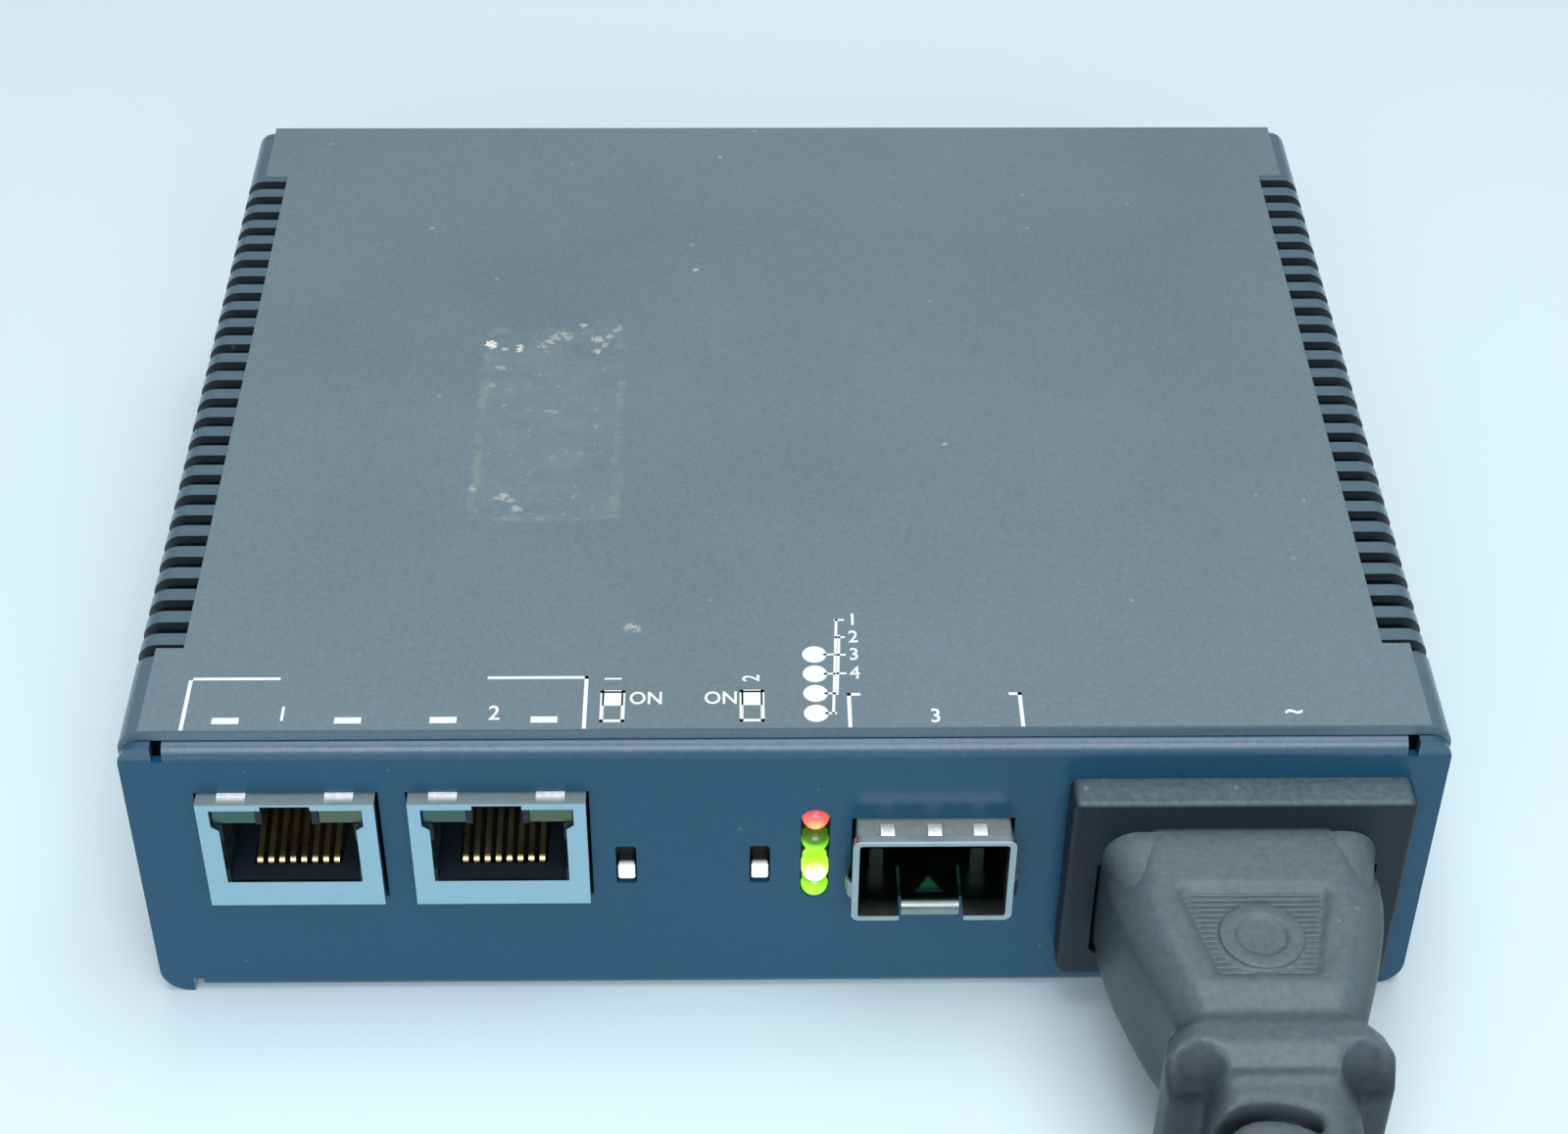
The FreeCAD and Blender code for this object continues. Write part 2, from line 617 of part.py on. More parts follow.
def make_jack_housing(x):
    """The moulded core: a stepped bore for the plug and its latch, and two lens pockets."""
    y0 = JACK_FACE + JACK_SKIN + 0.05
    y1 = JACK_FACE + JACK_D - 0.4
    z0 = JACK_LOW
    half = JACK_W / 2 - JACK_SKIN - 0.05
    block = box(x - half, x + half, y0, y1, z0, z0 + JACK_H - JACK_SKIN - 0.05)
    feet = [box(x + fx - 1.5, x + fx + 1.5, fy, fy + 3, BOARD_TOP, z0)
            for fx in (-5.0, 5.0) for fy in (y0 + 3, y1 - 6)]
    bore_half, latch = JACK_BORE_W / 2, JACK_LATCH_W / 2
    comb_half = CONTACT_COUNT * CONTACT_PITCH / 2 + 0.04
    bore_back = JACK_FACE + JACK_BORE_D
    floor, ceiling = z0 + JACK_FLOOR, z0 + JACK_CEILING
    bore = box(x - bore_half, x + bore_half, y0 - 1, bore_back, floor, ceiling)
    slot = box(x - latch, x + latch, y0 - 1, bore_back, ceiling - 1, z0 + JACK_LATCH_TOP)
    comb = box(x - comb_half, x + comb_half, JACK_FACE + CONTACT_SET_BACK - 0.2, bore_back,
               floor - CONTACT_DROP, floor + 1)
    cutters = [bore, slot, comb]
    for side in (-1, 1):
        x0, x1 = lens_edges(x, side, JACK_LENS_SLACK)
        lens_back = JACK_FACE + JACK_SKIN + JACK_LENS_D + 0.3
        lens_top = z0 + JACK_LENS_TOP + JACK_LENS_SLACK
        cutters.append(box(x0, x1, y0 - 1, lens_back, ceiling - JACK_LENS_SLACK, lens_top))
        x0, x1 = span(x + side * (bore_half + 0.7), x)
        cutters.append(box(x0, x1, y0 - 1, y0 + 3.6, z0 + 4.4, z0 + 8.2))
    return joined([block.cut(cutters)] + feet)


def make_jack_contacts(x):
    """Sprung wires that rise from the bore's floor towards its back."""
    front = JACK_FACE + CONTACT_SET_BACK
    floor = JACK_LOW + JACK_FLOOR
    foot, crest = floor - CONTACT_DROP, floor + 0.25
    rise = CONTACT_RUN * math.tan(math.radians(CONTACT_SLOPE))
    profile = ((front + 9.95, foot), (front, foot), (front, crest), (front + CONTACT_RUN, crest + rise))
    wires = []
    for i in range(CONTACT_COUNT):
        left = x + (i - (CONTACT_COUNT - 1) / 2) * CONTACT_PITCH - CONTACT_W / 2
        path = [V(left, y, z) for y, z in profile]
        wires.append(folded(path, -CONTACT_T, CONTACT_T + 0.2, V(CONTACT_W, 0, 0)))
    return group(wires)


def make_jack_light(x, side):
    y0 = JACK_FACE + JACK_SKIN + 0.25
    x0, x1 = lens_edges(x, side)
    return box(x0, x1, y0, y0 + JACK_LENS_D, JACK_LOW + JACK_CEILING, JACK_LOW + JACK_LENS_TOP)


# ---------------------------------------------------------------- switches and lamps

def switch_low():
    """Underside of the knob at rest on the lower stop."""
    return SWITCH_Z - (KNOB_H + KNOB_TRAVEL) / 2


def make_switch_body(x):
    """A small upright case, open in front for the knob's stem, with a guide for its carrier."""
    y0 = FRONT + SHEET + SWITCH_GAP
    y1 = y0 + SWITCH_BODY_D
    middle = switch_low() + KNOB_H / 2
    bottom = middle - CARRIER_H / 2 - 0.05
    top = middle + CARRIER_H / 2 + KNOB_TRAVEL + 0.05
    half = SWITCH_BODY_W / 2
    case = box(x - half, x + half, y0, y1, BOARD_TOP, top + SWITCH_WALL)
    guide_half = CARRIER_W / 2 + CARRIER_SLACK
    guide = box(x - guide_half, x + guide_half, y0 + SWITCH_WALL,
                y0 + SWITCH_WALL + CARRIER_D + 2 * CARRIER_SLACK, bottom, top)
    mouth = box(x - SWITCH_SLOT_W / 2, x + SWITCH_SLOT_W / 2, y0 - 1, y0 + SWITCH_WALL + 0.5,
                SWITCH_Z - SWITCH_SLOT_H / 2, SWITCH_Z + SWITCH_SLOT_H / 2)
    return case.cut([guide, mouth])


def make_switch_knob(x):
    low = switch_low()
    middle = low + KNOB_H / 2
    y0 = FRONT + SHEET + SWITCH_GAP + SWITCH_WALL + CARRIER_SLACK
    carrier = box(x - CARRIER_W / 2, x + CARRIER_W / 2, y0, y0 + CARRIER_D,
                  middle - CARRIER_H / 2, middle + CARRIER_H / 2)
    stem = slab(x, middle, KNOB_W, KNOB_H, 0.25, FRONT + KNOB_RECESS, y0 + 0.5)
    return joined([carrier, stem])


def lamp_heights():
    return [LAMPS_Z + ((LAMP_COUNT - 1) / 2 - i) * LAMP_PITCH for i in range(LAMP_COUNT)]


def make_lamp_holder():
    y0 = FRONT + SHEET + LAMP_HOLDER_GAP
    half = LAMP_HOLDER_W / 2
    bore_back = FRONT + LAMP_RECESS + LAMP_L + 0.4
    top = lamp_heights()[0] + LAMP_R + 0.9
    holder = box(LAMPS_X - half, LAMPS_X + half, y0, y0 + LAMP_HOLDER_D, BOARD_TOP, top)
    bores = [rod(LAMP_R + LAMP_SLACK, V(LAMPS_X, y0 - 1, z), V(LAMPS_X, bore_back, z))
             for z in lamp_heights()]
    return holder.cut(bores)


def make_lamp(z):
    """A small domed lamp whose tip stands in the panel's slot."""
    tip = FRONT + LAMP_RECESS
    stem = rod(LAMP_R, V(0, tip + LAMP_R, 0), V(0, tip + LAMP_L, 0))
    dome = Part.makeSphere(LAMP_R, V(0, tip + LAMP_R, 0), V(0, -1, 0), 0, 90, 360)
    lamp = joined([stem, dome])
    lamp.translate(V(LAMPS_X, 0, z))
    return lamp


# ---------------------------------------------------------------- optical port

def cage_springs():
    """Bowed fingers over the top and at both sides, just behind the cage's lip, and two posts."""
    low, high = BOARD_TOP, BOARD_TOP + SFP_H
    bow = (0.4, 0.0), (1.3, 1.0), (2.75, 0.0)
    springs = []
    for fx in SFP_FINGERS_X:
        left = SFP_X + fx - SFP_FINGER_W / 2
        path = [V(left, SFP_FACE + reach, high - 0.05 + 0.55 * out) for reach, out in bow]
        springs.append(folded(path, -0.25, 0.9, V(SFP_FINGER_W, 0, 0)))
    for side in (-1, 1):
        wall, z = SFP_X + side * (SFP_W / 2 - 0.05), low + SFP_H / 2 - 2.6
        path = [V(wall + side * 0.75 * out, SFP_FACE + reach, z) for reach, out in bow]
        springs.append(folded(path, -side * 0.25, 0.9, V(0, 0, 2.0)))
    floor = low + SFP_WALL - 0.05
    for x in SFP_POSTS_X:
        post = slab(SFP_X + x, floor + SFP_POST_H / 2, 1.3, SFP_POST_H, 0.3, FRONT + 3.2, FRONT + 3.55)
        springs.append(post)
    return springs


def make_sfp_cage():
    """The empty cage: a thin tube with a rolled front lip, contact fingers and a latch tongue."""
    y0, y1 = SFP_FACE, SFP_FACE + SFP_LENGTH
    low, middle = BOARD_TOP, BOARD_TOP + SFP_H / 2
    inner_w, inner_h = SFP_W - 2 * SFP_WALL, SFP_H - 2 * SFP_WALL
    shell = slab(SFP_X, middle, SFP_W, SFP_H, 0.6, y0, y1)
    collar = slab(SFP_X, middle, SFP_W + 0.5, SFP_H + 0.5, 0.8, y0, y0 + 0.8)
    inside = slab(SFP_X, middle, inner_w, inner_h, 0.3, y0 - 1, y1 - SFP_WALL)
    gap_half, rear_half = SFP_TONGUE_W / 2 + SFP_TONGUE_GAP, SFP_W / 2 - 1.3
    floor_gap = box(SFP_X - gap_half, SFP_X + gap_half, y0 - 1, y0 + 6.5, low - 1, low + SFP_WALL + 0.01)
    rear_gap = box(SFP_X - rear_half, SFP_X + rear_half, y1 - 12.0, y1 + 1, low - 1, low + SFP_WALL + 0.01)
    cage = shell.fuse(collar).cut([inside, floor_gap, rear_gap])
    curl, half = y0 + SFP_TONGUE_BACK, SFP_TONGUE_W / 2
    profile = (y0 + 7.0, low + SFP_WALL), (curl, low + SFP_WALL), (curl, low - 1.0)
    tongue = folded([V(SFP_X - half, y, z) for y, z in profile], SFP_WALL, 0.95, V(SFP_TONGUE_W, 0, 0))
    latch = [V(SFP_X - 1.6, FRONT, low), V(SFP_X + 1.6, FRONT, low), V(SFP_X, FRONT + 2.3, low)]
    return joined([cage, tongue.cut(prism(latch, 0, V(0, 0, 1.0)))] + cage_springs())


def make_sfp_connector():
    """The edge connector in the cage, with its card slot."""
    y0 = SFP_FACE + SFP_LENGTH - EDGE_SOCKET_D - 2.0
    half = EDGE_SOCKET_W / 2
    block = box(SFP_X - half, SFP_X + half, y0, y0 + EDGE_SOCKET_D, BOARD_TOP, BOARD_TOP + EDGE_SOCKET_H)
    slot = box(SFP_X - half + 0.8, SFP_X + half - 0.8, y0 - 1, y0 + 5.0, BOARD_TOP + 2.0, BOARD_TOP + 3.2)
    return block.cut(slot)


# ---------------------------------------------------------------- mains inlet and connector

def inlet_section(half_w, half_h, chamfer, y, low_corner=0.6):
    """An outline with two large chamfers above, the earth side, and small ones below."""
    x, z = INLET_X, INLET_Z
    c, k = chamfer, low_corner
    return [
        V(x - half_w + k, y, z - half_h), V(x + half_w - k, y, z - half_h),
        V(x + half_w, y, z - half_h + k), V(x + half_w, y, z + half_h - c),
        V(x + half_w - c, y, z + half_h), V(x - half_w + c, y, z + half_h),
        V(x - half_w, y, z + half_h - c), V(x - half_w, y, z - half_h + k)]


def pin_spots():
    """Centre of each of the three pins: two line pins below, the earth pin above."""
    low, high = INLET_Z - EARTH_RISE, INLET_Z + EARTH_RISE
    return [(INLET_X - PIN_PITCH / 2, low), (INLET_X, high), (INLET_X + PIN_PITCH / 2, low)]


def make_inlet_housing():
    flange = slab(INLET_X, INLET_Z, INLET_W, INLET_H, INLET_R, INLET_FACE, FRONT)
    rim = [e for e in flange.Edges if abs(e.BoundBox.YMax - INLET_FACE) < 1e-6]
    flange = flange.makeFillet(0.5, rim)
    body = slab(INLET_X, INLET_Z, INLET_BODY_W, INLET_BODY_H, 0.9, FRONT, FRONT + INLET_BODY_D)
    bore = prism(
        inlet_section(INLET_BORE_W / 2, INLET_BORE_H / 2, INLET_CHAMFER, INLET_FACE - 1),
        0, V(0, INLET_BORE_D + 1, 0))
    housing = joined([flange, body]).cut(bore)
    barbs = []
    for side in (-1, 1):
        x = INLET_X + side * INLET_BODY_W / 2
        y = FRONT + SHEET + 0.05
        wedge = [V(x, y, INLET_Z - 3), V(x + side * 1.1, y, INLET_Z - 3), V(x, y + 4.5, INLET_Z - 3)]
        barbs.append(prism(wedge, 0, V(0, 0, 6)))
    slots = []
    for x, z in pin_spots():
        slots.append(box(x - PIN_W / 2, x + PIN_W / 2, INLET_FACE, FRONT + 30, z - PIN_H / 2, z + PIN_H / 2))
    return joined([housing] + barbs).cut(slots)


def make_inlet_pins():
    """Flat pins through the housing's back wall, with solder tags behind."""
    y0 = INLET_FACE + INLET_BORE_D - PIN_LENGTH
    y1 = FRONT + INLET_BODY_D
    pins = []
    for x, z in pin_spots():
        pin = box(x - PIN_W / 2, x + PIN_W / 2, y0, y1, z - PIN_H / 2, z + PIN_H / 2)
        tip = [e for e in pin.Edges if e.BoundBox.YMax < y0 + 1e-6]
        pin = pin.makeChamfer(0.6, tip)
        tag = box(x - 0.4, x + 0.4, y1 - 0.5, TAG_END, z - PIN_H / 2 + 0.4, z + PIN_H / 2 - 0.4)
        pins.append(joined([pin, tag]))
    return group(pins)


def make_mains_connector():
    """The moulded connector: nose, tapered grip, collar and segmented strain relief."""
    half_w, half_h = INLET_BORE_W / 2 - PLUG_SLACK, INLET_BORE_H / 2 - PLUG_SLACK
    chamfer = INLET_CHAMFER - PLUG_SLACK
    nose = prism(inlet_section(half_w, half_h, chamfer, INLET_FACE), 0, V(0, NOSE_BACK - INLET_FACE, 0))
    stations = [(0.0, half_w, half_h, chamfer)]
    stations += zip(GRIP_REACH, GRIP_HALF_W, GRIP_HALF_H, GRIP_CHAMFER)
    grip = loft([grip_outline(*station) for station in stations])
    body = joined([nose, grip, make_connector_collar(), make_strain_relief()]).cut(grip_panel())
    sockets = []
    for x, z in pin_spots():
        wide, high = PIN_W / 2 + CONTACT_WALL + 0.2, PIN_H / 2 + CONTACT_WALL + 0.2
        bottom = NOSE_BACK - PIN_LENGTH - 0.5
        sockets.append(box(x - wide, x + wide, bottom, NOSE_BACK + 1, z - high, z + high))
    return body.cut(sockets)


def grip_outline(reach, half_w, half_h, chamfer):
    """The connector's section at a distance outwards from the inlet's face."""
    return outline(inlet_section(half_w, half_h, chamfer, INLET_FACE - reach, 1.8), GRIP_EDGE_R)


def grip_panel():
    """A sunken panel on the grip's top, round a dished disc."""
    floor = INLET_Z + GRIP_HALF_H[-3] - PANEL_DEPTH
    start, end = INLET_FACE - PANEL_START, INLET_FACE - PANEL_END
    corners = [
        V(INLET_X - PANEL_HALF_START, start, floor), V(INLET_X - PANEL_HALF_END, end, floor),
        V(INLET_X + PANEL_HALF_END, end, floor), V(INLET_X + PANEL_HALF_START, start, floor)]
    centre = V(INLET_X, INLET_FACE - (PANEL_START + PANEL_END) / 2 - 0.6, floor)
    disc = rod(DISC_R, centre, centre + V(0, 0, PANEL_DEPTH - 0.1))
    dish = rod(DISH_R, centre + V(0, 0, PANEL_DEPTH / 2), centre + V(0, 0, 1))
    return prism(corners, 0.8, V(0, 0, 3)).cut(disc.cut(dish))


def make_connector_collar():
    """A raised ring between grip and strain relief, with a scoop out of each front corner."""
    depth = COLLAR_FRONT - GRIP_REACH[-1]
    stations = (
        (0.0, GRIP_HALF_W[-1], GRIP_HALF_H[-1]),
        (depth * 0.25, COLLAR_HALF_W - 0.55, COLLAR_HALF_H - 0.4),
        (depth * 0.62, COLLAR_HALF_W, COLLAR_HALF_H),
        (depth, COLLAR_HALF_W - 0.35, COLLAR_HALF_H - 0.5))
    sections = [grip_outline(GRIP_REACH[-1] + reach, half_w, half_h, GRIP_CHAMFER[-1])
                for reach, half_w, half_h in stations]
    collar = loft(sections)
    scoops = []
    for sx in (-1, 1):
        for sz in (-1, 1):
            x, z = INLET_X + sx * COLLAR_HALF_W, INLET_Z + sz * COLLAR_HALF_H
            scoops.append(Part.makeSphere(SCOOP_R, V(x, INLET_FACE - COLLAR_FRONT - 1.6, z)))
    return collar.cut(scoops)


def make_strain_relief():
    """A tapering sleeve cut by crescent slots, turn about from its two sides."""
    start, end = COLLAR_FRONT - 1.0, RELIEF_END
    sections = []
    for reach, half in ((start, RELIEF_HALF_WIDE), (end, RELIEF_HALF_THIN)):
        wire = outline(upright(INLET_X, INLET_Z, 2 * half, 2 * half), half * 0.45)
        wire.translate(V(0, INLET_FACE - reach, 0))
        sections.append(wire)
    inner = V(INLET_X, INLET_FACE - start - 1, INLET_Z)
    core = rod(CORD_D / 2 + 0.35, inner, inner - V(0, end - start, 0))
    low, height = INLET_Z - RELIEF_HALF_WIDE - 2, V(0, 0, 2 * RELIEF_HALF_WIDE + 4)
    cutters = []
    for i in range(RELIEF_SLOTS):
        side = -1 if i % 2 == 0 else 1
        reach = COLLAR_FRONT + 3.4 + i * RELIEF_SLOT_PITCH
        centre = V(INLET_X + side * 2, INLET_FACE - reach - 7.0, low)
        ring = rod(8.0, centre, centre + height).cut(rod(8.0 - RELIEF_SLOT_W, centre, centre + height))
        x0, x1 = span(INLET_X - side * 2.4, INLET_X + side * 9.6)
        near_side = box(x0, x1, centre.y + 1.0, centre.y + 10.0, low, low + height.z)
        cutters.append(ring.common(near_side).cut(core))
    return loft(sections).cut(cutters)


def make_connector_contacts():
    """Sprung sleeves in the connector's nose that grip the inlet's pins."""
    slack = 0.08
    sleeves = []
    for x, z in pin_spots():
        w, h = PIN_W / 2 + CONTACT_WALL, PIN_H / 2 + CONTACT_WALL
        y0, y1 = NOSE_BACK - PIN_LENGTH, NOSE_BACK - 1.0
        sleeve = box(x - w, x + w, y0, y1, z - h, z + h)
        bore_w, bore_h = PIN_W / 2 + slack, PIN_H / 2 + slack
        bore = box(x - bore_w, x + bore_w, y0 - 1, y1 + 1, z - bore_h, z + bore_h)
        seam = box(x - 0.2, x + 0.2, y0 - 1, y1 + 1, z, z + h + 1)
        sleeves.append(sleeve.cut([bore, seam]))
    return group(sleeves)


# ---------------------------------------------------------------- cord, coil and wall plug

def cord_radii(points):
    """Each arc is as large as its two runs allow."""
    radii = []
    for a, b, c in zip(points, points[1:], points[2:]):
        turn = (b - a).getAngle(c - b)
        radii.append(0.45 * min((b - a).Length, (c - b).Length) / math.tan(turn / 2))
    return radii


def make_cord(name, route):
    radii = cord_radii(route)
    shape, length = tube(route, radii, CORD_D)
    expected = math.pi * CORD_D ** 2 / 4 * length
    print(name, "length", round(length, 1), "radii", [round(r, 1) for r in radii],
          "volume ratio", round(shape.Volume / expected, 4))
    return shape


def make_cord_coil():
    """The outer shape of two layers of turns, the upper one lying on the lower one."""
    low = CORD_D / 2 + 1.5
    section = [
        V(COIL_IN, 0, 0), V(COIL_OUT, 0, 0), V(COIL_OUT, 0, low), V(COIL_TOP_OUT, 0, COIL_H),
        V(COIL_TOP_IN, 0, COIL_H), V(COIL_IN, 0, low)]
    ring = Part.Face(outline(section, 0)).revolve(V(0, 0, 0), V(0, 0, 1), 360)
    ring.translate(V(COIL_X, COIL_Y, 0))
    return ring


def plug_frame(shape):
    """Turn a plug modelled along -X from the origin so that the cord's tail runs into it."""
    end, before = TAIL_ROUTE[-1], TAIL_ROUTE[-2]
    away = end - before
    shape.rotate(V(0, 0, 0), V(0, 0, 1), math.degrees(math.atan2(-away.y, -away.x)))
    shape.translate(V(end.x, end.y, WALL_H / 2))
    return shape


def make_wall_plug():
    """A moulded plug lying on its side face, with a tapered strain relief."""
    relief, half_w, half_h = WALL_RELIEF_L, WALL_W / 2, WALL_H / 2
    stations = ((0.0, WALL_RELIEF_HALF, WALL_RELIEF_HALF), (relief, 7.0, 7.0),
                (relief + 6.0, half_w - 1.5, half_h - 1.0), (relief + 11.0, half_w, half_h),
                (relief + WALL_L, half_w, half_h))
    sections = []
    for reach, w, h in stations:
        corners = [V(-reach, -w, -h), V(-reach, w, -h), V(-reach, w, h), V(-reach, -w, h)]
        sections.append(outline(corners, 2.0))
    return plug_frame(loft(sections))


def make_wall_plug_blades():
    """Two flat blades with a hole near each end, and a longer round earth pin above them."""
    face = -(WALL_RELIEF_L + WALL_L)
    low = -3.0
    pieces = []
    for side in (-1, 1):
        y = side * BLADE_PITCH / 2
        half_t, half_w = BLADE_T / 2, BLADE_W / 2
        blade = box(face - BLADE_L, face, y - half_t, y + half_t, low - half_w, low + half_w)
        middle = face - BLADE_L + 3.5
        pieces.append(blade.cut(rod(1.6, V(middle, y - 2, low), V(middle, y + 2, low))))
    end = V(face - GROUND_L + GROUND_R, 0, low - 3.2 + GROUND_RISE)
    pieces.append(joined([rod(GROUND_R, end, V(face, 0, end.z)), Part.makeSphere(GROUND_R, end)]))
    return plug_frame(group(pieces))


# ---------------------------------------------------------------- parts on the main board

def make_converter_chip():
    x, y, half = CHIP_X, CHIP_Y, CHIP_SIDE / 2
    return box(x - half, x + half, y - half, y + half, BOARD_TOP, BOARD_TOP + CHIP_H)


def make_chip_heatsink():
    """A finned aluminium block on the converter chip."""
    low, half = BOARD_TOP + CHIP_H, CHIP_SINK_SIDE / 2
    y0, y1 = CHIP_Y - half, CHIP_Y + half
    sink = box(CHIP_X - half, CHIP_X + half, y0, y1, low, low + CHIP_SINK_H)
    pitch = CHIP_SINK_SIDE / (CHIP_SINK_GROOVES + 0.5)
    grooves = []
    for i in range(CHIP_SINK_GROOVES):
        left = CHIP_X + (i - CHIP_SINK_GROOVES / 2 + 0.25) * pitch
        grooves.append(box(left, left + pitch / 2, y0 - 1, y1 + 1, low + 2.0, low + CHIP_SINK_H + 1))
    return sink.cut(grooves)


def make_port_transformers():
    """One isolating transformer pack behind each copper port."""
    y0, half = JACK_FACE + JACK_D + PORT_COIL_GAP, PORT_COIL_W / 2
    return group([box(x - half, x + half, y0, y0 + PORT_COIL_D, BOARD_TOP, BOARD_TOP + PORT_COIL_H)
                  for x in JACKS_X])


def make_board_crystal():
    """A flat metal can with rounded ends, between the chip and the optical port."""
    length, width, height = 10.5, 4.0, 3.0
    x1 = SFP_X - SFP_W / 2 - 0.8
    y1 = CHIP_Y - CHIP_SIDE / 2 + 2.0
    can = box(x1 - length, x1, y1 - width, y1, BOARD_TOP, BOARD_TOP + height)
    return can.makeFillet(1.5, [e for e in can.Edges if abs(e.BoundBox.ZLength - height) < 0.01])


def can_capacitor(x, y, low, radius, height):
    """An electrolytic can, necked in near its sealed end."""
    can = rod(radius, V(x, y, low), V(x, y, low + height))
    neck = rod(radius + 1, V(x, y, low + 1.6), V(x, y, low + 2.3)).cut(
        rod(radius - 0.25, V(x, y, low), V(x, y, low + height)))
    return can.cut(neck)


def make_board_capacitors():
    spots = [(BOARD_LEFT + BOARD_CANS_X, FRONT + y) for y in BOARD_CANS_Y]
    return group([can_capacitor(x, y, BOARD_TOP, BOARD_CAN_R, BOARD_CAN_H) for x, y in spots])


# ---------------------------------------------------------------- power supply

def supply_spot(across, along):
    """A place on the supply board, as shares of its width and its length."""
    return SUPPLY_LEFT + across * SUPPLY_W, SUPPLY_FRONT + along * (SUPPLY_BACK - SUPPLY_FRONT)


def make_transformer_core():
    """Two E-shaped ferrite halves, met round the winding, as one framed block."""
    x, y = supply_spot(*TRANSFORMER)
    low = SUPPLY_TOP + 1.0
    core = box(x - 10, x + 10, y - 3, y + 3, low, low + 16)
    windows = [box(x + s * 4.7 - 2.2, x + s * 4.7 + 2.2, y - 4, y + 4, low + 2.8, low + 13.2)
               for s in (-1, 1)]
    return core.cut(windows)


def make_transformer_winding():
    """The wound bobbin round the core's middle leg, on two rows of legs."""
    x, y = supply_spot(*TRANSFORMER)
    low = SUPPLY_TOP
    outer = box(x - 6.8, x + 6.8, y - 7.0, y + 7.0, low + 4.0, low + 14.0)
    leg = box(x - 2.55, x + 2.55, y - 3.05, y + 3.05, low, low + 18)
    feet = [box(x - 6.8, x + 6.8, y + s * 7.0 - 1.5, y + s * 7.0 + 1.5, low, low + 4.0) for s in (-1, 1)]
    return joined([outer.cut(leg)] + feet)


def make_bulk_capacitor():
    x, y = supply_spot(0.574, 0.27)
    return can_capacitor(x, y, SUPPLY_TOP, 6.3, 18.0)


def make_output_capacitors():
    x, y = supply_spot(0.426, 0.845)
    return group([can_capacitor(x, y + s * 4.5, SUPPLY_TOP, 4.0, 12.0) for s in (-1, 1)])


def make_line_choke():
    """A wound ring standing on edge."""
    x, y = supply_spot(0.907, 0.2365)
    return Part.makeTorus(4.6, 2.4, V(x, y, SUPPLY_TOP + 7.0), V(1, 0, 0))


def make_mains_fuse():
    """A glass fuse between two cup clips."""
    x, y = supply_spot(0.167, 0.25)
    z = SUPPLY_TOP + 4.6
    half = FUSE_L / 2
    glass = rod(2.4, V(x, y - half + 2, z), V(x, y + half - 2, z))
    caps = [rod(2.6, V(x, y + s * half, z), V(x, y + s * (half - 4.5), z)) for s in (-1, 1)]
    clips = [box(x - 3.2, x + 3.2, *span(y + s * (half - 0.5), y + s * (half - 4.0)), SUPPLY_TOP, z - 1.6)
             for s in (-1, 1)]
    return joined([glass] + caps + clips)


def sink_place():
    """Outer face and front end of the supply's heatsink."""
    return SUPPLY_RIGHT - 1.1, supply_spot(0, 0.358)[1]


def make_supply_heatsink():
    x, y = sink_place()
    path = [V(x, y, SUPPLY_TOP + SINK_H), V(x, y, SUPPLY_TOP), V(x - 3.0, y, SUPPLY_TOP)]
    return folded(path, SINK_T, 1.6, V(0, SINK_L, 0))


def make_supply_transistor():
    x, y = sink_place()
    x -= SINK_T
    middle = y + SINK_L * 0.8
    body = box(x - 4.5, x, middle - 5.0, middle + 5.0, SUPPLY_TOP + 5.0, SUPPLY_TOP + 15.0)
    legs = [box(x - 2.9, x - 2.2, middle + dy - 0.45, middle + dy + 0.45, SUPPLY_TOP, SUPPLY_TOP + 5.0)
            for dy in (-2.54, 0.0, 2.54)]
    return joined([body] + legs)


def make_leads(routes, diameter, bend):
    return group([tube(route, [bend] * (len(route) - 2), diameter)[0] for route in routes])


def make_supply_leads():
    """From the inlet's solder tags down to the supply board."""
    routes = []
    for (x, z), away in zip(pin_spots(), (1.8, 3.0, 1.8)):
        y = TAG_END + away
        routes.append([V(x, TAG_END, z), V(x, y, z), V(x, y, SUPPLY_TOP)])
    return make_leads(routes, 1.6, 1.1)


def make_dc_leads():
    """From the supply's output over to the main board."""
    x0, x1, top = SUPPLY_LEFT + 3.0, BOARD_RIGHT - 4.0, BOARD_TOP + 7.1
    routes = []
    for y in (SUPPLY_BACK - 14.5, SUPPLY_BACK - 12.5):
        routes.append([V(x0, y, SUPPLY_TOP), V(x0, y, top), V(x1, y, top), V(x1, y, BOARD_TOP)])
    return make_leads(routes, 1.5, 2.5)


